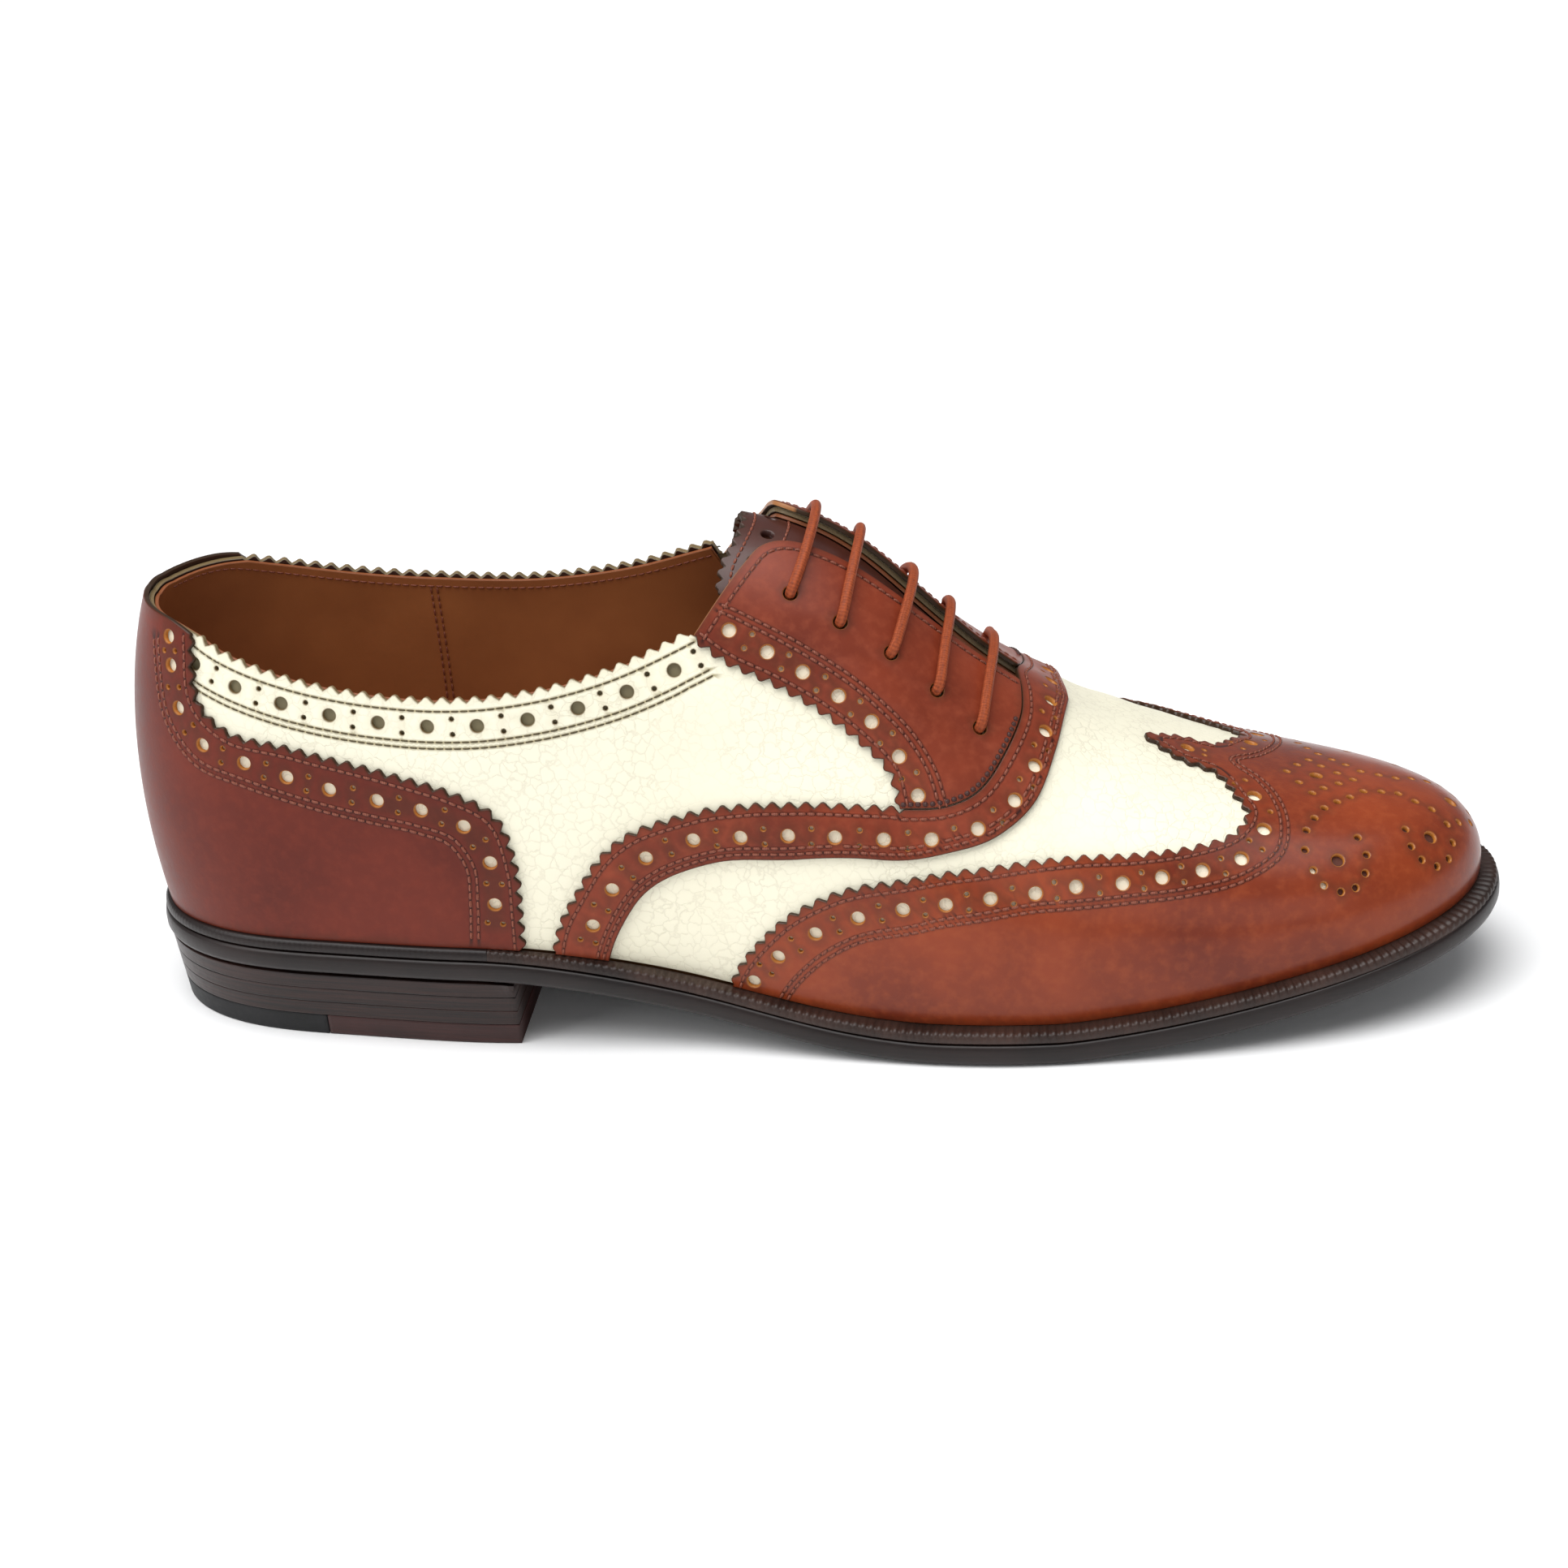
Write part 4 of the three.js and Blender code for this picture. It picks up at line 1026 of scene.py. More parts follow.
STRAP_REAR = ((0.583, 0.600), (0.549, 0.666), (0.509, 0.714), (0.476, 0.742), (0.442, 0.776), (0.420, 0.812),
              (0.385, 0.885), (0.362, 0.963), (0.342, 1.071), (0.328, 1.160), (0.320, 1.260), (0.315, 1.420))
STRAP_FRONT = ((0.350, 1.400), (0.363, 1.212), (0.375, 1.119), (0.393, 1.024), (0.417, 0.953),
               (0.451, 0.892), (0.508, 0.843), (0.573, 0.740), (0.622, 0.601), (0.655, 0.492),
               (0.679, 0.374), (0.693, 0.213), (0.699, 0.070), (0.701, 0.000))
STRAP_HOLES = ((0.688, 0.062), (0.685, 0.181), (0.678, 0.291), (0.664, 0.400), (0.638, 0.514),
               (0.605, 0.614), (0.571, 0.696), (0.536, 0.756), (0.502, 0.791), (0.467, 0.821),
               (0.432, 0.852), (0.396, 0.930), (0.369, 1.034), (0.352, 1.142), (0.343, 1.231))
WING_REAR = ((0.756, 0.000), (0.783, 0.060), (0.808, 0.075), (0.824, 0.160), (0.831, 0.204), (0.821, 0.277),
             (0.793, 0.339), (0.754, 0.400), (0.698, 0.479), (0.629, 0.632), (0.573, 0.797),
             (0.527, 0.917), (0.496, 1.006), (0.477, 1.078), (0.464, 1.137), (0.453, 1.209), (0.440, 1.500))
WING_HOLES = ((0.788, 0.000), (0.813, 0.062), (0.836, 0.144), (0.842, 0.249), (0.825, 0.340), (0.797, 0.392),
              (0.768, 0.437), (0.740, 0.481), (0.707, 0.529), (0.678, 0.588), (0.646, 0.657),
              (0.614, 0.743), (0.583, 0.832), (0.550, 0.927), (0.518, 1.015), (0.489, 1.106), (0.469, 1.190))
WING_SEAM = ((0.822, 0.000), (0.840, 0.070), (0.851, 0.135), (0.857, 0.219), (0.853, 0.303), (0.829, 0.378),
             (0.791, 0.445), (0.734, 0.528), (0.677, 0.623), (0.621, 0.763), (0.583, 0.884),
             (0.545, 0.995), (0.515, 1.100), (0.492, 1.210), (0.480, 1.320))
COUNTER_TOP = ((0.296, -0.100), (0.299, 0.126), (0.299, 0.245), (0.288, 0.365), (0.257, 0.422),
               (0.208, 0.467), (0.142, 0.515), (0.088, 0.551), (0.064, 0.620), (0.058, 0.750), (0.055, 0.850))
COUNTER_HOLES = ((0.038, 0.765), (0.042, 0.698), (0.049, 0.598), (0.068, 0.517), (0.100, 0.483),
                 (0.132, 0.453), (0.164, 0.426), (0.200, 0.403), (0.233, 0.383), (0.264, 0.345),
                 (0.281, 0.257), (0.281, 0.149), (0.278, 0.050))
TONGUE_SIDE = ((0.470, 0.000), (0.466, 0.090), (0.459, 0.170), (0.456, 0.250), (0.476, 0.292), (0.550, 0.300),
               (0.650, 0.250), (0.682, 0.160), (0.690, 0.000))
TONGUE_CORNER = 3
# at, lateral down, medial down, how far the lace leans forward over the slit in mm
EYELETS = ((0.507, 0.230, 0.180, 3.0), (0.542, 0.255, 0.205, 1.6), (0.577, 0.255, 0.205, 2.2),
           (0.609, 0.260, 0.212, 0.6), (0.639, 0.276, 0.240, 1.0))

# %% [markdown]
# ## From tables to outlines
# Curves through the tables are cut where they reach the welt or the topline, and joined into loops.

# %% Outlines from the tables
WELT_LINE = 2.3
EDGE_STEP = 0.9
TOP_BACK = 0.055


def chain(table, side=LATERAL):
    """Chart points of a table of (at, down) rows."""
    at, down = zip(*table)
    return along_ridge(at, side, down)


def rising(table, side):
    """Chart points of a table of (at, up) rows."""
    at, up = zip(*table)
    return over_feather(at, side, np.array(up) * INSTEP_HEIGHT)


def topline(at, side):
    return over_feather(at, side, smooth(TOPLINE_AT, TOPLINE_UP[side], at) * INSTEP_HEIGHT)


def cut_curve(curve, inside):
    """The part of a curve from its start to where `inside` first falls below zero."""
    value = inside(curve)
    below = np.nonzero(value < 0)[0]
    if not len(below):
        return curve
    n = below[0]
    w = value[n - 1] / (value[n - 1] - value[n])
    return np.vstack([curve[:n], curve[n - 1] + w * (curve[n] - curve[n - 1])])


def over_welt(curve):
    return find_section(curve)[2] - WELT_LINE


def to_welt(curve):
    return cut_curve(curve, over_welt)


def under_topline(curve):
    turn, side, up = find_section(curve)
    at = 0.5 - 0.5 * np.cos(turn)
    high = by_side(side, *(smooth(TOPLINE_AT, TOPLINE_UP[k], at) for k in (LATERAL, MEDIAL)))
    return high * INSTEP_HEIGHT - up


def welt_line(start, end):
    """Anticlockwise along the welt from one chart place to another."""
    (t0, t1), (s0, s1) = find_section(np.array([start, end]))[:2]
    if s0 == s1:
        legs = [(t0, t1, s0)]
    else:
        turn = math.pi if s0 < 0 else 0.0
        legs = [(t0, turn, s0), (turn, t1, s1)]
    parts = []
    for a, b, side in legs:
        turns = np.linspace(a, b, max(int(abs(b - a) * 80), 3))
        parts.append(over_feather(0.5 - 0.5 * np.cos(turns), int(side), WELT_LINE))
    return np.concatenate([parts[0], parts[1][1:]]) if len(parts) == 2 else parts[0]


def outline_of(*arcs):
    """Joins arcs of (curve, kind) into a loop. Kinds are pinked, plain and light, which is a paler edge."""
    loop, tone = [], []
    for curve, kind in arcs:
        points = pinked(curve) if kind == "pinked" else spread(curve, step=EDGE_STEP)
        loop.append(points[:-1])
        tone.append(np.full(len(points) - 1, 1.0 if kind == "light" else 0.0))
    return np.concatenate(loop), np.concatenate(tone)


def on_both_sides(table):
    """Medial side from its low end up to the ridge, then down the lateral side."""
    medial, lateral = chain(table, MEDIAL)[::-1], chain(table, LATERAL)
    return np.concatenate([medial[:-1] if abs(medial[-1][1]) < 1e-6 else medial, lateral])


# %% [markdown]
# ## Punched rows
# A brogue's rows are large round holes with a pair of pinholes between each two.

# %% Punched rows
HOLE_RADIUS = 1.42
PIN_RADIUS = 0.5
PIN_ASIDE = 1.65
HOLE_SIDES = 20
PIN_SIDES = 8
HOLE_FROM_EDGE = 0.9


def punched_row(centres, pins=True):
    """Round holes at the centres, and a pair of pinholes between each two."""
    holes = circles(centres, HOLE_RADIUS, HOLE_SIDES)
    if pins:
        curve = through(centres)
        for aside in (-PIN_ASIDE, PIN_ASIDE):
            holes += circles(moved(curve, aside)[CURVE_PARTS // 2::CURVE_PARTS], PIN_RADIUS, PIN_SIDES)
    return holes


def safe_holes(holes, outline):
    """Leaves out holes that would run into an edge."""
    tree = tree_of(outline)
    return [h for h in holes if min(tree.find((x, y, 0))[2] for x, y in h) > HOLE_FROM_EDGE]


# %% [markdown]
# ## Cream quarters and vamp
# The shoe's ground is pebbled cream leather. Each brown leather lies on it, so the holes in the brown
# show cream. It is one sheet with the mouth cut out: the topline is pinked, and the edges that lie under
# the facings stay a little behind them.

# %% Cream leather
LINING_IN, LINING_OUT = -2.8, -1.95
BACKING_IN, BACKING_OUT = -1.92, -1.78
CREAM_IN, CREAM_OUT = -1.75, -0.6
OVERLAY_IN, OVERLAY_OUT = -0.5, 0.6
TUCK = 0.8
COLLAR_START, COLLAR_END = 0.058, 0.434
BACK_DROP = 0.9
EYELET_RADIUS = 1.45


def slit_curve(side):
    """The facing's edge from the top corner of the collar along the slit to its front end."""
    rear, slit = chain(FACING_REAR[side], side), chain(SLIT[side], side)
    dense = through(np.concatenate([rear, slit]))
    split = CURVE_PARTS * (len(rear) - 1)
    return dense[:split + 1], dense[split:]


def mouth_loop(collar, tuck):
    """Clockwise round the mouth: medial side forward, lateral side back."""
    sides = []
    for side in (MEDIAL, LATERAL):
        at = np.linspace(0.0, COLLAR_START, 12)
        high = smooth(TOPLINE_AT, TOPLINE_UP[side], at) * INSTEP_HEIGHT
        back = over_feather(at, side, high - BACK_DROP * (1 - (at / COLLAR_START) ** 4))
        front = topline(np.linspace(COLLAR_START, COLLAR_END, 60), side)
        rear, slit = slit_curve(side)
        inset = -tuck if side > 0 else tuck
        edge = moved(np.concatenate([rear, slit[1:]]), inset)
        edge = np.vstack([edge, edge[-1:] + [TUCK, 0]])
        corner = np.vstack([front[-1:], edge[:1]])
        arcs = [(back, "plain"), (front, collar), (corner, "plain"), (edge, "plain")]
        if side == LATERAL:
            arcs = [(curve[::-1], kind) for curve, kind in reversed(arcs)]
        sides.append(arcs)
    bridge = np.vstack([sides[0][-1][0][-1:], sides[1][0][0][:1]])
    return outline_of(*sides[0], (bridge, "plain"), *sides[1])[0]


whole_welt = np.concatenate([
    over_feather(0.5 - 0.5 * np.cos(np.linspace(0, math.pi, 300)), LATERAL, WELT_LINE),
    over_feather(0.5 - 0.5 * np.cos(np.linspace(math.pi, 0, 300)), MEDIAL, WELT_LINE)[1:]])
whole_welt = spread(whole_welt, step=1.3)[:-1]
eyelet_places = [chain([(at, row[0]) for at, *row in EYELETS], LATERAL),
                 chain([(at, row[1]) for at, *row in EYELETS], MEDIAL)]
eyelet_holes = circles(np.concatenate(eyelet_places), EYELET_RADIUS, HOLE_SIDES)

COLLAR_HOLE_DOWN = 5.6
COLLAR_HOLES = 12
COLLAR_SEAM_DOWN = (2.3, 8.9, 10.3)
BACKING_TOP, BACKING_LOW = 3.4, 7.8
collar_holes, collar_seams = [], []
for _side in (LATERAL, MEDIAL):
    _forward = topline(np.linspace(0.066, 0.448, 70), _side)
    _way = 1 if _side < 0 else -1
    _row = spread(moved(_forward, COLLAR_HOLE_DOWN * _way), count=COLLAR_HOLES - 1)
    collar_holes += punched_row(_row)
    for _down in COLLAR_SEAM_DOWN:
        collar_seams.append(moved(topline(np.linspace(0.060, 0.436, 70), _side), _down * _way))

cut_leather("cream_upper", whole_welt, [mouth_loop("pinked", TUCK)] + collar_holes + eyelet_holes,
            CREAM_IN, CREAM_OUT, 1.7, CREAM, seams=collar_seams, replaces=("upper",),
            groove=0.14, dark_holes=len(eyelet_holes))
for _side, _name in ((LATERAL, "lateral"), (MEDIAL, "medial")):
    _way = 1 if _side < 0 else -1
    _line = topline(np.linspace(0.062, 0.450, 70), _side)
    _top, _low = moved(_line, BACKING_TOP * _way), moved(_line, BACKING_LOW * _way)
    _band = (_low, _top[::-1]) if _side < 0 else (_top, _low[::-1])
    _loop = spread(np.concatenate(_band), step=1.5)
    cut_leather(f"collar_backing_{_name}", _loop, [], BACKING_IN, BACKING_OUT, 3.0, BACKING,
                groove=0)
stitches("collar_stitches", collar_seams, CREAM_OUT - 0.08, DARK_THREAD, radius=0.2)

# %% [markdown]
# ## Lining
# Inside lies a thin calf lining, sewn to the topline. It follows the cream sheet a hair below it and
# ends just under the teeth, so the brown shows between them as on the real edge.

# %% Lining
LINING_DROP = 0.35
lining_loop = moved(mouth_loop("plain", TUCK), -LINING_DROP, closed=True)
cut_leather("lining", whole_welt, [lining_loop] + eyelet_holes, LINING_IN, LINING_OUT, 2.4, LINING,
            dark_holes=len(eyelet_holes))
lining_seams = []
for _side in (LATERAL, MEDIAL):
    _way = 1 if _side < 0 else -1
    lining_seams.append(moved(topline(np.linspace(0.004, 0.430, 80), _side), 2.4 * _way))
    for _at in (0.205, 0.210):
        _down = np.linspace(0.03, 0.42, 12)
        _up = smooth(TOPLINE_AT, TOPLINE_UP[_side], _at) - _down
        lining_seams.append(over_feather(np.full(12, _at), _side, _up * INSTEP_HEIGHT))
stitches("lining_stitches", lining_seams, LINING_IN - 0.05, BROWN_THREAD, inside=True,
         radius=0.22)

# %% [markdown]
# ## Counter
# The counter wraps the heel and runs up to the collar at the back. Its upper edge is pinked, then come a
# single row of stitches, the punched row and a double row.

# %% Counter
ROW_NEAR_TEETH = 1.7
counter_seams, counter_rows, counter_tops = [], [], {}
for _side in (LATERAL, MEDIAL):
    _way = -1 if _side < 0 else 1
    top = through(rising(COUNTER_TOP, _side))
    top = top[over_welt(top) > 0] if over_welt(top[:1])[0] < 0 else top
    top = cut_curve(top, under_topline)
    counter_tops[_side] = top
    near = moved(top, ROW_NEAR_TEETH * _way)
    counter_seams.append(cut_curve(near, lambda c: under_topline(c) - 1.0))
    holes = rising(COUNTER_HOLES, _side)
    counter_rows.append(holes)
    row = through(holes)
    for aside in (3.6, 5.2):
        line = moved(row, (-aside if _side > 0 else aside))
        counter_seams.append(cut_curve(line[::-1], over_welt)[::-1])
lateral_top, medial_top = counter_tops[LATERAL], counter_tops[MEDIAL]
_back = np.concatenate([topline(np.linspace(TOP_BACK, 0, 14), LATERAL),
                        topline(np.linspace(0, TOP_BACK, 14), MEDIAL)[1:]])
_back[0], _back[-1] = lateral_top[-1], medial_top[-1]
outline, tone = outline_of((welt_line(medial_top[0], lateral_top[0]), "plain"), (lateral_top, "pinked"),
                           (_back, "plain"), (medial_top[::-1], "pinked"))
holes = [h for row in counter_rows for h in punched_row(row)]
holes = safe_holes(holes, outline)
# the counter's darker calf is painted shade
cut_leather("counter_leather", outline, holes, OVERLAY_IN, OVERLAY_OUT, 2.2, COUNTER_CALF_SHADED,
            seams=counter_seams, tone=tone, replaces=("counter",))
stitches("counter_stitches", counter_seams, OVERLAY_OUT - 0.08, BROWN_THREAD,
         avoid=np.concatenate(counter_rows))

# %% [markdown]
# ## Vamp strap
# A band runs from the welt up over the instep and down again. Its front edge is plain, its rear edge is
# pinked where it lies on the cream, and it closes the front of the lacing.

# %% Vamp strap
_front_half = to_welt(through(chain(STRAP_FRONT[::-1], LATERAL)))
strap_front = np.concatenate([_front_half[::-1], mirrored(_front_half)[::-1][1:]])
throat = through(on_both_sides(THROAT_SEAM))
strap_rear = to_welt(through(chain(STRAP_REAR, LATERAL)))
strap_rear_medial = mirrored(strap_rear)
outline, tone = outline_of(
    (welt_line(strap_rear[-1], strap_front[0]), "plain"), (strap_front, "plain"),
    (welt_line(strap_front[-1], strap_rear_medial[0]), "plain"), (strap_rear_medial, "pinked"),
    (throat, "plain"), (strap_rear, "pinked"))
strap_holes = safe_holes(punched_row(on_both_sides(STRAP_HOLES)), outline)
strap_seams = [moved(strap_rear, -ROW_NEAR_TEETH), moved(strap_rear_medial, -ROW_NEAR_TEETH),
               moved(throat, -2.0), moved(strap_front, -1.3), moved(strap_front, -2.6)]
cut_leather("vamp_strap_leather", outline, strap_holes, OVERLAY_IN, OVERLAY_OUT, 1.7, BROWN_CALF,
            seams=strap_seams, tone=tone, replaces=("vamp_strap",))
stitches("strap_stitches", strap_seams, OVERLAY_OUT - 0.08, BROWN_THREAD,
         avoid=on_both_sides(STRAP_HOLES))

# %% [markdown]
# ## Toe wing and medallion
# The toe piece ends in a W with long wings. The medallion is a traditional punched figure on its middle.
# It is given as one half and mirrored about the toe's centre line.

# %% Toe wing
MEDALLION_LARGE = ((211.0, 0.0), (240.0, 0.0), (214.6, 26.9), (234.8, 15.5))
MEDALLION_SMALL = (
    (204.8, 0.0), (207.2, 4.4), (209.8, 8.2), (212.3, 5.5), (215.6, 2.6), (218.8, 0.0), (220.7, 5.0),
    (224.5, 4.2), (228.1, 3.9), (217.7, 8.0), (214.9, 10.4), (212.1, 13.2), (209.9, 16.9),
    (208.1, 20.8), (207.7, 25.8),
    (209.4, 30.1), (211.7, 32.9), (215.5, 33.5), (218.7, 32.0), (220.6, 28.5), (220.7, 24.4), (218.8, 20.6),
    (235.2, 6.9), (238.7, 9.6), (241.7, 6.6), (245.3, 2.6), (229.1, 15.7), (230.5, 19.6), (233.3, 21.6),
    (237.5, 21.2), (240.2, 17.9), (240.5, 13.6), (231.6, 5.7))
SMALL_HOLE = 0.72
LARGE_HOLE = 1.3


def both_ways(points):
    """Points of the half figure and their mirror images."""
    out = [(x, y) for x, y in points]
    out += [(x, -y) for x, y in points if y > 0]
    return np.array(out)


wing_lateral = to_welt(through(chain(WING_REAR, LATERAL)))
wing_medial = mirrored(wing_lateral)
outline, tone = outline_of((welt_line(wing_lateral[-1], wing_medial[0]), "plain"), (wing_medial, "pinked"),
                           (wing_lateral, "pinked"))
medallion = circles(both_ways(MEDALLION_LARGE), LARGE_HOLE, 16)
medallion += circles(both_ways(MEDALLION_SMALL), SMALL_HOLE, 10)
wing_holes = safe_holes(punched_row(on_both_sides(WING_HOLES)), outline)
wing_seams = []
_near = moved(wing_lateral, -ROW_NEAR_TEETH)
_near = _near[_near[:, 1] < -0.8]
wing_seams += [_near, mirrored(_near)]
_double = through(on_both_sides(WING_SEAM))
for _aside in (-0.75, 0.75):
    _line = moved(_double, _aside)
    _line = to_welt(_line[np.argmax(over_welt(_line) > 0):])
    wing_seams.append(_line)
cut_leather("toe_wing_leather", outline, wing_holes + medallion, OVERLAY_IN, OVERLAY_OUT, 1.6, TOE_CALF,
            seams=wing_seams, tone=tone, replaces=("toe_wing",))
stitches("wing_stitches", wing_seams, OVERLAY_OUT - 0.08, BROWN_THREAD,
         avoid=on_both_sides(WING_HOLES))
_middle = np.array([225.0, 0.0])
_angle = np.linspace(0, 2 * math.pi, 64, endpoint=False)
backing = _middle + np.stack([26 * np.cos(_angle), 37 * np.sin(_angle)], -1)
_up = over_welt(backing)
backing = np.where((_up < 6)[:, None], _middle + (backing - _middle) * 0.8, backing)
cut_leather("toe_punch_backing", backing, [], -0.58, -0.5, 2.5, TOE_BACKING, groove=0)

# %% [markdown]
# ## Facings and tongue
# The facings carry the eyelets, five punched holes a side with no metal. The lower edge is pinked, the
# top edge shows its pale cut. The tongue lies under the slit, with a pinked and punched top.

# %% Facings
def facing_arcs():
    """The lateral facing's outline and its seams, on the chart."""
    rear, edge = slit_curve(LATERAL)
    low = through(chain(FACING_LOW, LATERAL))[::-1]
    seam = through(chain(THROAT_SEAM, LATERAL))[::-1]
    seam = moved(seam[seam[:, 1] < edge[-1, 1]], -0.15)
    front = np.array([seam[-1], edge[-1]])
    corner = np.vstack([rear[:1], low[:1]])
    arcs = [(front, "plain"), (edge[::-1], "plain"), (rear[::-1], "light"), (corner, "light"),
            (low, "pinked"), (seam, "plain")]
    double = through(chain(FACING_SEAM, LATERAL))
    seams = [moved(low, -ROW_NEAR_TEETH), moved(np.concatenate([edge[::-1], rear[-2::-1]]), -2.2),
             moved(double, -0.75), moved(double, 0.75)]
    return arcs, seams, moved(seam[:int(len(seam) * 0.72)], -0.9)


for _side, _name in ((LATERAL, "lateral"), (MEDIAL, "medial")):
    arcs, seams, dark_seam = facing_arcs()
    if _side == MEDIAL:
        arcs = [(mirrored(curve), kind) for curve, kind in reversed(arcs)]
        rear, edge = slit_curve(MEDIAL)
        arcs = [(edge, "plain") if curve is arcs[-2][0] else (curve, kind) for curve, kind in arcs]
        arcs[-1] = (np.array([edge[-1], arcs[0][0][0]]), "plain")
        arcs[-3] = (rear, "light")
        seams = [mirrored(curve) for curve in seams]
        seams[1] = moved(np.concatenate([rear, edge[1:]]), -2.2)
        dark_seam = mirrored(dark_seam)
    outline, tone = outline_of(*arcs)
    holes = safe_holes(punched_row(chain(FACING_HOLES, _side)), outline)
    holes += circles(eyelet_places[(_side + 1) // 2], EYELET_RADIUS, HOLE_SIDES)
    cut_leather(f"facing_{_name}_leather", outline, holes, OVERLAY_IN, OVERLAY_OUT, 1.6, BROWN_CALF,
                seams=seams, tone=tone, replaces=(f"facing_{_name}",),
                dark_holes=len(EYELETS))
    stitches(f"facing_{_name}_stitches", seams, OVERLAY_OUT - 0.08, BROWN_THREAD,
             avoid=chain(FACING_HOLES, _side))
    stitches(f"throat_{_name}_stitches", [dark_seam], OVERLAY_OUT - 0.1, SEAM_THREAD,
             pitch=1.5, radius=0.5)

# %% [markdown]
# ## Tongue
# The tongue's top edge is pinked between two corners and carries two rows of stitches.

# %% Tongue
TONGUE_IN, TONGUE_OUT = -4.7, -3.1
_half = chain(TONGUE_SIDE, LATERAL)
tongue_side = through(_half[TONGUE_CORNER:])
_medial_half = chain(TONGUE_SIDE, MEDIAL)[TONGUE_CORNER:0:-1]
tongue_top = through(np.concatenate([_medial_half, _half[:TONGUE_CORNER + 1]]))
outline, tone = outline_of((tongue_side, "plain"), (mirrored(tongue_side), "plain"), (tongue_top, "pinked"))
tongue_seams = [moved(tongue_top, -2.2), moved(tongue_top, -9.5)]
tongue_row = spread(moved(tongue_top, -5.8), count=5)[1:-1]
# the tongue's very dark colour is painted shade from under the slit
cut_leather("tongue_leather", outline, punched_row(tongue_row, pins=False), TONGUE_IN, TONGUE_OUT, 2.0,
            TONGUE_SHADED_LEATHER, seams=tongue_seams, tone=tone, replaces=("tongue",))
stitches("tongue_stitches", tongue_seams, TONGUE_OUT - 0.08, BROWN_THREAD)

# %% [markdown]
# ## Laces
# A thin round waxed lace crosses straight from eyelet to eyelet. Each bar rises out of one hole, bends
# over and goes down the other. A curve with a bevel would do; here the tube is built from its route, so
# that it can carry its braid as values for the material.

# %% Laces
LACE_DIAMETER = 2.2
LACE_SIDES = 14
LACE_END = -2.9


def lace_material():
    material, tree, shader = new_material("waxed_lace", Specular_IOR_Level=0.25)
    along, around = attribute(tree, "along"), attribute(tree, "around")
    turns_along = math_node(tree, "MULTIPLY", along, 5.2)
    first = math_node(tree, "SINE", math_node(tree, "ADD", turns_along, around))
    second = math_node(tree, "SINE", math_node(tree, "SUBTRACT", turns_along, around))
    weave = math_node(tree, "MULTIPLY", first, second)
    noise = add(tree, "ShaderNodeTexNoise", in_Vector=in_mm(tree), in_Scale=1.6, in_Detail=4.0)
    tone = math_node(tree, "ADD", math_node(tree, "MULTIPLY", weave, 0.25), noise.outputs["Fac"], clamp=True)
    tree.links.new(mix_colour(tree, tone, srgb(104, 42, 22), srgb(178, 86, 46)), shader.inputs["Base Color"])
    set_roughness(tree, shader, noise.outputs["Fac"], 0.45, 0.7)
    bump(tree, shader, tone, 0.6, 0.18)
    return material


def tube(name, route, radius, sides, material, replaces=()):
    """A closed round tube along a route in mm, with its length and turn as values."""
    route = np.asarray(route, float)
    ahead = unit(np.gradient(route, axis=0))
    up = np.array([0.0, 0.0, 1.0])
    points, along, around = [], [], []
    length = np.concatenate([[0], np.cumsum(np.linalg.norm(np.diff(route, axis=0), axis=1))])
    frame_up = unit(np.cross(ahead[0], np.cross(up, ahead[0])) + 1e-9)
    for centre, way, run in zip(route, ahead, length):
        frame_up = unit(frame_up - way * (frame_up @ way))
        beside = np.cross(way, frame_up)
        for k in range(sides):
            angle = 2 * math.pi * k / sides
            points.append(centre + radius * (math.cos(angle) * beside + math.sin(angle) * frame_up))
            along.append(run)
            around.append(angle * 3)
    faces = []
    for r in range(len(route) - 1):
        for k in range(sides):
            a, b = r * sides + k, r * sides + (k + 1) % sides
            faces.append((a, b, b + sides, a + sides))
    faces.append(tuple(reversed(range(sides))))
    faces.append(tuple((len(route) - 1) * sides + k for k in range(sides)))
    return finish_piece(name, points, faces, material, values={"along": along, "around": around},
                        replaces=replaces)


WAXED_LACE = lace_material()
# share of the way from an eyelet to the slit's middle, depth over the last in mm
LACE_RISE = ((1.0, LACE_END), (1.0, -1.4), (1.0, -0.2), (0.985, 0.85), (0.93, 1.55), (0.84, 1.9),
             (0.66, 2.05), (0.42, 2.3), (0.2, 2.6), (0.0, 2.7))
for _n, (_at, _lateral, _medial, _lean) in enumerate(EYELETS):
    _share, _depth = (np.array(column) for column in zip(*LACE_RISE))
    _share = np.concatenate([_share, -_share[-2::-1]])
    _depth = np.concatenate([_depth, _depth[-2::-1]])
    _middle = (_medial - _lateral) / 2
    _y = (_middle - _share * (_medial + _lateral) / 2) * INSTEP_HEIGHT
    _x = LAST_BACK + _at * LAST_LENGTH + _lean * (1 - np.abs(_share) ** 2)
    _route = place(np.stack([_x, _y], -1), _depth)
    _dense = np.stack([smooth(np.arange(len(_route)), _route[:, k], np.linspace(0, len(_route) - 1, 90))
                       for k in range(3)], -1)
    tube(f"lace_{_n + 1}", _dense, LACE_DIAMETER / 2, LACE_SIDES, WAXED_LACE,
         replaces=(f"lace_bar_{_n + 1}",))

# %% [markdown]
# ## Bottom
# The welt is a strip of dark leather, wheeled on its edge with small even notches. Under it lies the
# outsole, and the heel is a stack of leather lifts. All of them follow the feather line at their own
# distance, so each is a ring with a profile.

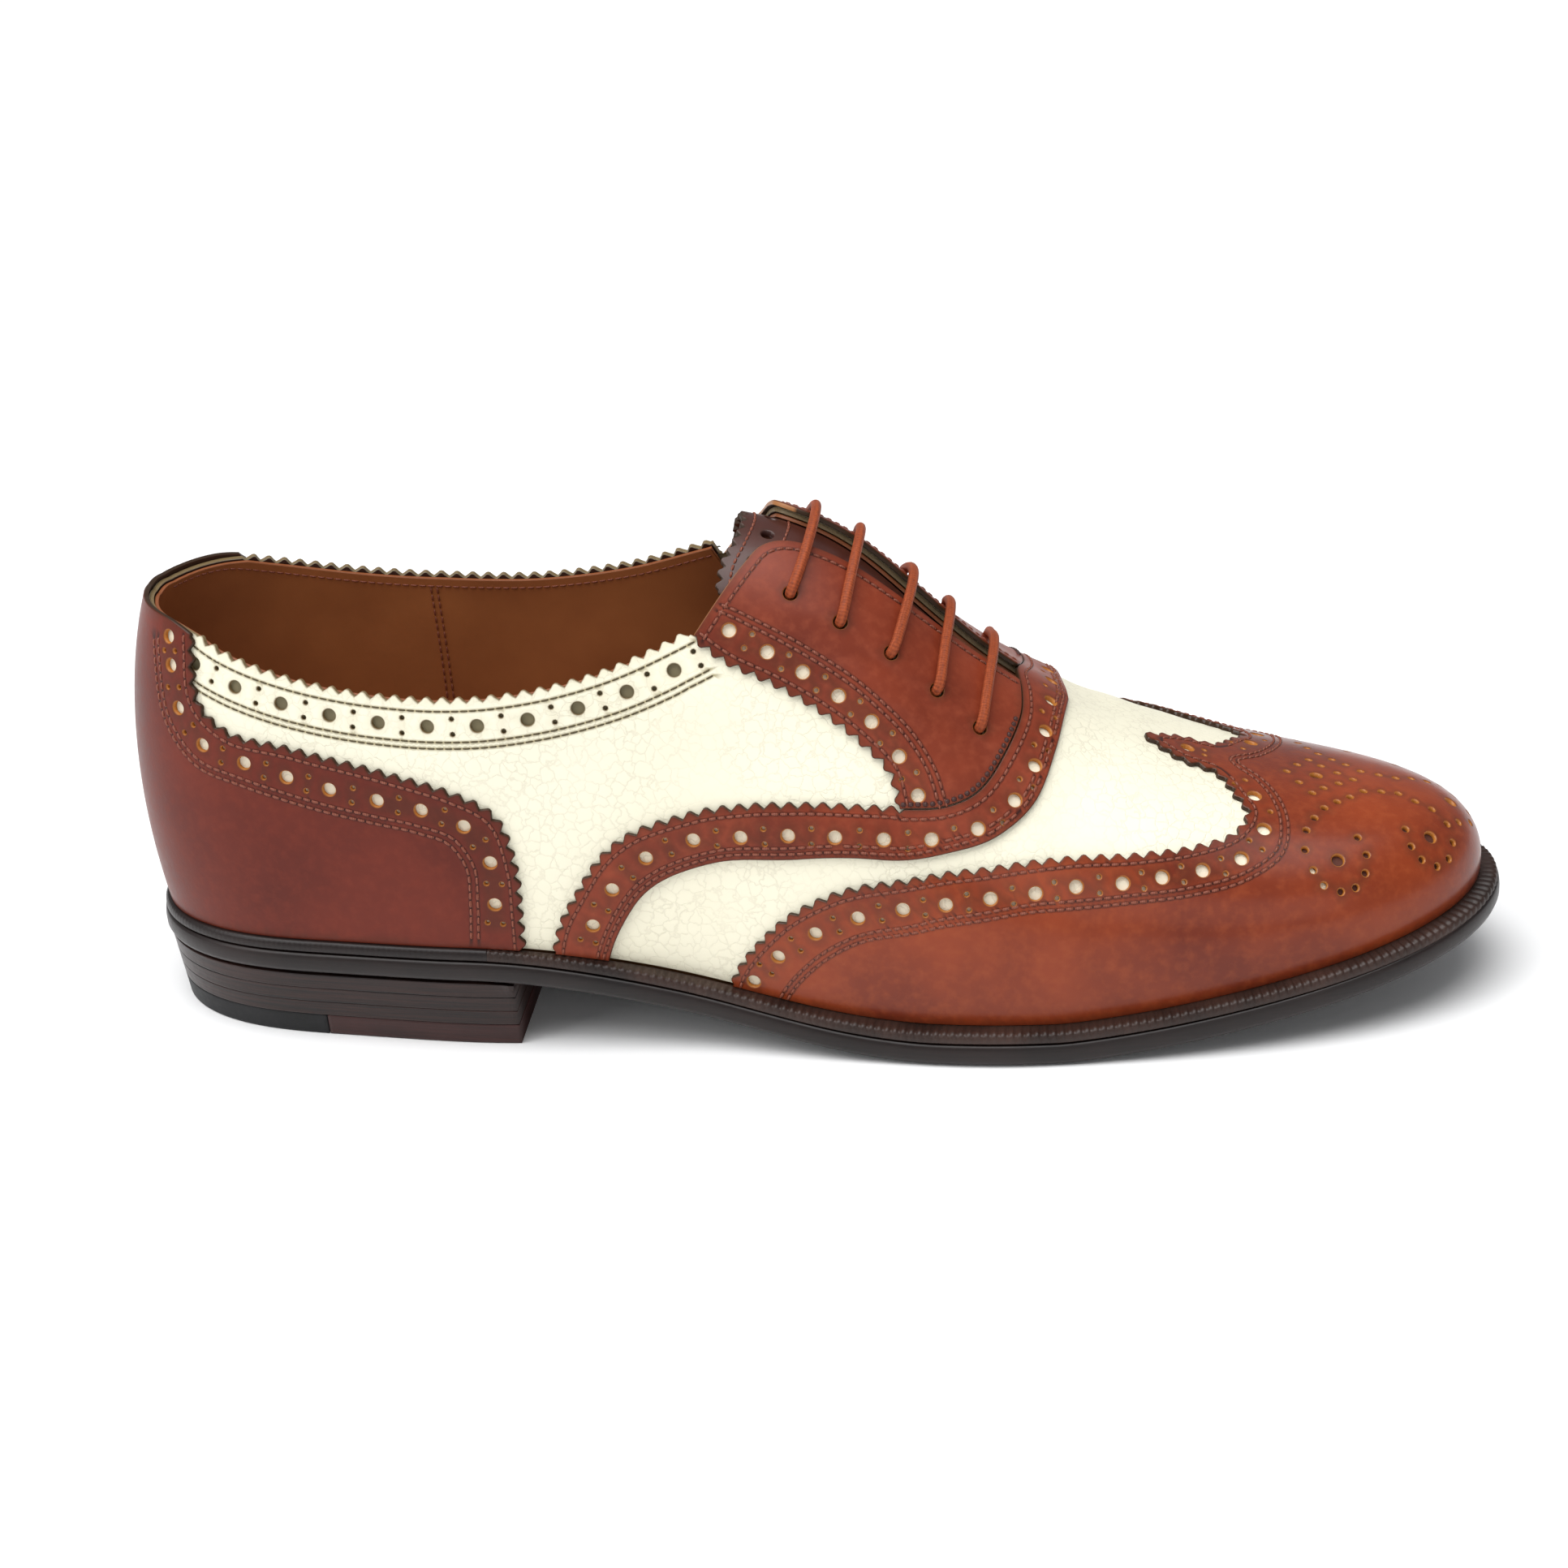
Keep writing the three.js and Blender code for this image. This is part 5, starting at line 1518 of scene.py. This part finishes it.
# %% Bottom finishes
def edge_leather(name, deep, light, gloss, streak=0.0):
    """Ink-stained and waxed sole edge, with fine horizontal streaks where `streak` is set."""
    material, tree, shader = new_material(name, Coat_Weight=0.12, Coat_Roughness=0.25, Specular_IOR_Level=0.3)
    where = in_mm(tree)
    stretch = add(tree, "ShaderNodeMapping", vector_type="POINT", in_Vector=where)
    stretch.inputs["Scale"].default_value = (0.05, 0.05, 1.9)
    streaks = add(tree, "ShaderNodeTexNoise", in_Vector=stretch.outputs[0], in_Scale=1.0, in_Detail=6.0,
                  in_Roughness=0.6)
    clouds = use_group(tree, MOTTLING, Cloud_size=18.0, Fleck_size=1.4)
    amount = math_node(tree, "ADD", math_node(tree, "MULTIPLY", streaks.outputs["Fac"], streak),
                       math_node(tree, "MULTIPLY", clouds.outputs["Clouds"], 1 - streak))
    tones = ramp(tree, amount, 0.35, 0.68)
    tree.links.new(mix_colour(tree, tones, deep, light), shader.inputs["Base Color"])
    set_roughness(tree, shader, clouds.outputs["Flecks"], gloss - 0.06, gloss + 0.14)
    rough_part = math_node(tree, "MULTIPLY", clouds.outputs["Flecks"], 0.6)
    height = math_node(tree, "ADD", streaks.outputs["Fac"], rough_part)
    bump(tree, shader, height, 0.35, 0.12)
    return material


WELT_LEATHER = edge_leather("welt_edge", srgb(30, 19, 15), srgb(62, 42, 35), 0.4)
SOLE_EDGE = edge_leather("sole_edge", srgb(17, 11, 10), srgb(34, 23, 21), 0.36, streak=0.4)
HEEL_STACK = edge_leather("heel_stack", srgb(20, 11, 10), srgb(50, 28, 23), 0.34, streak=0.85)
TOP_LIFT = edge_leather("top_lift_leather_finish", srgb(38, 17, 15), srgb(62, 30, 27), 0.42, streak=0.6)
RUBBER = edge_leather("heel_rubber_finish", srgb(12, 12, 13), srgb(26, 26, 28), 0.6)


def proud_at(x):
    """How far the welt stands out from the feather line."""
    waist = soft_step(x, JOIN_X, HEEL_BREAST + WAIST_RUN)
    forepart = soft_step(x, HEEL_BREAST + WAIST_RUN, TREAD_BACK)
    return RAND_PROUD + (WAIST_PROUD - RAND_PROUD) * waist + (WELT_PROUD - WAIST_PROUD) * forepart


def ring_turns(step):
    """Turns and sides round the shoe, evenly spaced by length: heel, lateral side, toe, medial side."""
    parts = []
    for line in PERIMETER:
        run = np.linspace(0, line[-1], int(line[-1] / step) + 1)
        parts.append(np.interp(run, line, TURNS))
    lateral, medial = parts
    turns = np.concatenate([lateral[:-1], medial[::-1][:-1]])
    sides = np.concatenate([np.full(len(lateral) - 1, LATERAL), np.full(len(medial) - 1, MEDIAL)])
    return turns, sides


def plan(turns, sides, offset):
    """The feather line moved out by `offset` mm, seen from above."""
    x, y = feather(turns, sides)
    line = np.stack([x, y], -1)
    way = unit(np.roll(line, -1, axis=0) - np.roll(line, 1, axis=0))
    return line + np.stack([way[:, 1], -way[:, 0]], -1) * np.broadcast_to(offset, len(line))[:, None]


def wall_reach(turns, sides, height, depth):
    """How far the upper, at a height over the seat, stands out from the feather line."""
    q = np.full(len(turns), 0.03)
    foot_x = feather(turns, sides)[0]
    for _ in range(12):
        z = last_point(turns, sides, q)[:, 2] - seat_z(foot_x)
        q = q * np.clip(height / np.maximum(z, 0.05), 0.5, 2)
    point = last_point(turns, sides, q)
    foot_y = feather(turns, sides)[1]
    return np.hypot(point[:, 0] - foot_x, point[:, 1] - foot_y) + depth


def ring_strip(name, turns, sides, profile, material, replaces, keep=None):
    """A closed strip: at each turn a profile of (offset, z) columns."""
    count = len(turns)
    rows = [np.column_stack([plan(turns, sides, offset), z]) for offset, z in profile]
    points = np.concatenate(rows)
    levels = len(rows)
    faces = []
    for r in range(levels):
        for k in range(count):
            n = (k + 1) % count
            if keep is not None and not (keep[k] and keep[n]):
                continue
            a, b = r * count + k, r * count + n
            c, d = ((r + 1) % levels) * count + n, ((r + 1) % levels) * count + k
            faces.append((a, b, c, d))
    if keep is not None:
        for k in range(count):
            before, after = keep[k - 1], keep[(k + 1) % count]
            if keep[k] and before != after and not (before and after):
                cap = [r * count + k for r in range(levels)]
                faces.append(tuple(cap if not before else cap[::-1]))
        used = sorted({v for f in faces for v in f})
        where = {v: n for n, v in enumerate(used)}
        points = points[used]
        faces = [tuple(where[v] for v in f) for f in faces]
    return finish_piece(name, points, faces, material, replaces=replaces)


# %% [markdown]
# ## Welt
# The welt's upper edge is wheeled: one small notch after another. They are part of its profile.

# %% Welt and heel rand
NOTCH_PITCH = 1.7
NOTCH_STEP = NOTCH_PITCH / 6
NOTCH_DEPTH = 0.5


def strip_profile(turns, sides, notch, notch_z):
    """Profile rings of the welt or rand. notch is 0 to 1 round the strip."""
    x = feather(turns, sides)[0]
    base = sole_z(x) + OUTSOLE_THICK
    inner = wall_reach(turns, sides, WELT_THICK, CREAM_OUT + 0.1)
    inner_low = wall_reach(turns, sides, 0.6, CREAM_OUT + 0.1)
    proud = proud_at(x)
    top = base + WELT_THICK
    width = proud - inner
    return [
        (inner_low, base + CLEAR),
        (proud - 0.3, base + CLEAR),
        (proud, base + CLEAR + 0.25),
        (proud - notch * NOTCH_DEPTH * 0.5, base + WELT_THICK * 0.45),
        (proud - 0.1 - notch * NOTCH_DEPTH * 0.8, top - 0.75),
        (proud - 0.45 - notch * NOTCH_DEPTH * 0.5, top - 0.2 - notch * notch_z * 0.8),
        (inner + width * 0.68, top - notch * notch_z),
        (inner + width * 0.36, top - 0.05 - notch * notch_z * 0.75),
        (inner + width * 0.16, top - 0.1),
        (inner, top - 0.35),
    ]


turns, sides = ring_turns(NOTCH_STEP)
ring_x = feather(turns, sides)[0]
phase = np.arange(len(turns)) * 2 * math.pi / 6
wheel = (0.5 - 0.5 * np.cos(phase)) ** 1.5
wheel *= 0.85 + 0.15 * np.sin(np.arange(len(turns)) * 0.07)
ring_strip("welt_strip", turns, sides, strip_profile(turns, sides, wheel, NOTCH_DEPTH), WELT_LEATHER,
           ("welt",), keep=ring_x > JOIN_X)

fine_turns, fine_sides = ring_turns(0.3)
fine_x = feather(fine_turns, fine_sides)[0]
fine_wheel = 0.16 * (np.arange(len(fine_turns)) % 4 == 0)
ring_strip("heel_rand_strip", fine_turns, fine_sides, strip_profile(fine_turns, fine_sides, fine_wheel, 0.0),
           SOLE_EDGE, ("heel_rand",), keep=fine_x < JOIN_X + 0.35)


# %% [markdown]
# ## Sole and heel
# Sole, lifts and top lift are stacks of outlines at rising heights, each with slightly rounded edges.

# %% Outsole, insole and heel
def wall_faces(levels, count):
    """Faces between rings of equal count, one above the other."""
    faces = []
    for r in range(levels - 1):
        for k in range(count):
            a, b = r * count + k, r * count + (k + 1) % count
            faces.append((a, b, b + count, a + count))
    return faces


def capped_stack(name, rings, material, replaces):
    """A solid from rings of equal count, each an array of points. Both ends are closed in strips."""
    count = len(rings[0])
    points = np.concatenate(rings)
    faces = wall_faces(len(rings), count)
    for base, up in ((0, False), ((len(rings) - 1) * count, True)):
        for k in range(count // 2):
            a, b = base + k, base + k + 1
            c, d = base + count - k - 1, base + (count - k) % count
            face = [a, b] + ([c] if c != b else []) + ([d] if d != a else [])
            if len(face) >= 3:
                faces.append(tuple(face if up else face[::-1]))
    return finish_piece(name, points, faces, material, replaces=replaces)


turns, sides = ring_turns(1.2)
ring_x = feather(turns, sides)[0]


def sole_ring(offset, lift, thickness=0.0):
    """A ring round the bottom, `lift` mm over the sole's underside."""
    flat = plan(turns, sides, offset)
    return np.column_stack([flat, sole_z(flat[:, 0]) + thickness + lift])


proud = proud_at(ring_x)
capped_stack("outsole_leather", [
    sole_ring(proud - 9.0, 0.0), sole_ring(proud - 2.2, 0.0), sole_ring(proud - 0.9, 0.12),
    sole_ring(proud + 0.05, 0.7), sole_ring(proud + 0.42, 1.6), sole_ring(proud + 0.45, 3.0),
    sole_ring(proud + 0.3, 4.3), sole_ring(proud - 0.05, 4.9), sole_ring(proud - 0.5, 5.0),
], SOLE_EDGE, ("outsole",))

inner = -INSOLE_THICK
capped_stack("sock_and_insole", [
    sole_ring(inner - 0.3, CLEAR, OUTSOLE_THICK), sole_ring(inner, CLEAR + 0.3, OUTSOLE_THICK),
    sole_ring(inner, CLEAR + INSOLE_THICK - 0.2, OUTSOLE_THICK),
    sole_ring(inner - 0.6, CLEAR + INSOLE_THICK, OUTSOLE_THICK),
    sole_ring(inner - 8.0, CLEAR + INSOLE_THICK - 0.1, OUTSOLE_THICK),
], SOCK, ("insole",))


def heel_section(z, x_front, x_back, inset):
    """A ring with fixed counts, so that rings of different heights can be joined."""
    taper = HEEL_TAPER * (1 - z / HEEL_HEIGHT)
    offset = RAND_PROUD - CLEAR - taper - inset
    samples = np.linspace(0, 1, 60)
    sides_points = []
    for side in (LATERAL, MEDIAL):
        sweep = np.linspace(0, math.pi * 0.62, 400)
        x, y = feather(sweep, side)
        line = np.stack([x, y], -1)
        way = unit(np.gradient(line, axis=0))
        right = np.stack([way[:, 1], -way[:, 0]], -1) * (1 if side < 0 else -1)
        line = line + right * offset
        line[0, 1] = 0
        length = np.concatenate([[0], np.cumsum(np.linalg.norm(np.diff(line, axis=0), axis=1))])
        back = 0.0 if x_back is None else np.interp(x_back + inset, line[:, 0], length)
        front = np.interp(x_front - inset, line[:, 0], length)
        run = back + (front - back) * samples
        points = np.stack([np.interp(run, length, line[:, k]) for k in (0, 1)], -1)
        sides_points.append(points)
    lateral, medial = sides_points
    if x_back is None:
        ring = np.concatenate([lateral[::-1], medial[1:]])
    else:
        ring = np.concatenate([lateral[::-1], medial])
    z_top = np.minimum(z, sole_z(ring[:, 0]) - CLEAR)
    return np.column_stack([ring, z_top])


def heel_piece(name, low, top, x_front, x_back, material, replaces, rounding=0.25):
    """One lift, with slightly rounded edges. Its outline runs open from breast to breast."""
    levels = [(low, rounding), (low + rounding * 0.8, 0.0), (low + rounding * 2.5, 0.0),
              (top - rounding * 2.5, 0.0), (top - rounding * 0.8, 0.0), (top, rounding)]
    rings = [heel_section(z, x_front, x_back, inset) for z, inset in levels]
    count = len(rings[0])
    points = np.concatenate(rings)
    faces = wall_faces(len(rings), count)
    for base, up in ((0, False), ((len(rings) - 1) * count, True)):
        for k in range(count // 2):
            a, b, c, d = base + k, base + k + 1, base + count - 2 - k, base + count - 1 - k
            face = [a, b] + ([c] if c > b else []) + [d]
            if len(face) >= 3 and d > b:
                faces.append(tuple(face if up else face[::-1]))
    return finish_piece(name, points, faces, material, replaces=replaces)


LIFT_SEAM = 0.02
lift_step = (HEEL_HEIGHT - CLEAR - TOP_LIFT_THICK) / LIFT_COUNT
for _n in range(LIFT_COUNT):
    _low = TOP_LIFT_THICK + _n * lift_step
    heel_piece(f"heel_stack_{_n + 1}", _low, _low + lift_step - LIFT_SEAM, HEEL_BREAST, None, HEEL_STACK,
               (f"heel_lift_{_n + 1}",), rounding=0.12)
rubber_end = HEEL_BACK + RUBBER_SHARE * HEEL_LENGTH
heel_piece("top_lift_rubber_piece", 0.0, TOP_LIFT_THICK - LIFT_SEAM, rubber_end - CLEAR / 2, None, RUBBER,
           ("top_lift_rubber",))
heel_piece("top_lift_leather_piece", 0.0, TOP_LIFT_THICK - LIFT_SEAM, HEEL_BREAST, rubber_end + CLEAR / 2,
           TOP_LIFT, ("top_lift_leather",))

# %% [markdown]
# ## Studio
# The camera stands where the photographer's did, a little above the shoe and square to its outer side,
# and is turned to the middle of this one shoe. A large soft light from above and two weaker ones make
# the soft gloss; the floor is plain and pale.

# %% Camera
CAMERA_PLACE = Vector((179.61, -619.74, 330.70)) * MM
PHOTO_AZIMUTH, PHOTO_ELEVATION, PHOTO_ROLL = -2.6, 24.21, -2.1
AIM = Vector((97.0, 0.0, 44.0)) * MM
LENS_SHARE = 2.02


def camera_axes(azimuth, elevation, roll):
    """Right, up and forward of a camera, from its angles in degrees."""
    a, e, r = (math.radians(v) for v in (azimuth, elevation, roll))
    forward = Vector((math.sin(a) * math.cos(e), math.cos(a) * math.cos(e), -math.sin(e)))
    right = Vector((math.cos(a), -math.sin(a), 0.0))
    up = right.cross(forward)
    return right * math.cos(r) + up * math.sin(r), up * math.cos(r) - right * math.sin(r), forward


right, up, forward = camera_axes(PHOTO_AZIMUTH, PHOTO_ELEVATION, PHOTO_ROLL)
turn_to_shoe = forward.rotation_difference(AIM - CAMERA_PLACE)
right, up, forward = (turn_to_shoe @ v for v in (right, up, forward))
camera_data = bpy.data.cameras.new("camera")
camera_data.sensor_width = 36.0
camera_data.lens = 36.0 * LENS_SHARE
camera_data.clip_start = 0.05
camera = bpy.data.objects.new("camera", camera_data)
bpy.context.scene.collection.objects.link(camera)
camera.matrix_world = Matrix.Translation(CAMERA_PLACE) @ Matrix((right, up, -forward)).transposed().to_4x4()
bpy.context.scene.camera = camera


# %% [markdown]
# ## Floor and lights
# A wide soft sun keeps the whole floor equally bright; the area lights add the gloss on toe and counter.

# %% Floor and lights
def floor_material():
    material, tree, shader = new_material("studio_floor", Roughness=0.6)
    noise = add(tree, "ShaderNodeTexNoise", in_Vector=in_mm(tree), in_Scale=0.01, in_Detail=2.0)
    tree.links.new(mix_colour(tree, noise.outputs["Fac"], (0.94, 0.94, 0.94, 1), (0.97, 0.97, 0.97, 1)),
                   shader.inputs["Base Color"])
    return material


floor_mesh = bpy.data.meshes.new("floor")
reach = 6.0
floor_mesh.from_pydata([(-reach, -reach, 0), (reach, -reach, 0), (reach, reach, 0), (-reach, reach, 0)], [],
                       [(0, 1, 2, 3)])
floor = bpy.data.objects.new("floor", floor_mesh)
floor_mesh.materials.append(floor_material())
bpy.context.scene.collection.objects.link(floor)


def area_light(name, place_m, target, size, power):
    data = bpy.data.lights.new(name, "AREA")
    data.shape = "RECTANGLE"
    data.size, data.size_y = size
    data.energy = power
    light = bpy.data.objects.new(name, data)
    bpy.context.scene.collection.objects.link(light)
    light.location = place_m
    light.rotation_euler = (Vector(target) - Vector(place_m)).to_track_quat("-Z", "Y").to_euler()


bpy.context.scene.view_settings.view_transform = "Standard"
CENTRE = (0.1, 0.0, 0.05)
area_light("overhead", (0.05, -0.4, 3.2), CENTRE, (3.4, 2.4), 54)
area_light("left_window", (-2.6, -1.6, 2.0), CENTRE, (1.8, 2.4), 32)
area_light("front_fill", (1.4, -3.4, 1.4), CENTRE, (2.4, 1.6), 14)
sky_lamp = bpy.data.lights.new("soft_sky", "SUN")
sky_lamp.energy = 1.85
sky_lamp.angle = math.radians(60)
soft_sky = bpy.data.objects.new("soft_sky", sky_lamp)
soft_sky.rotation_euler = Vector((-0.25, -0.2, 1)).to_track_quat("Z", "Y").to_euler()
bpy.context.scene.collection.objects.link(soft_sky)
world = bpy.data.worlds.new("studio")
bpy.context.scene.world = world
world.use_nodes = True
world.node_tree.nodes["Background"].inputs["Color"].default_value = (0.95, 0.97, 1.0, 1)
world.node_tree.nodes["Background"].inputs["Strength"].default_value = 0.28
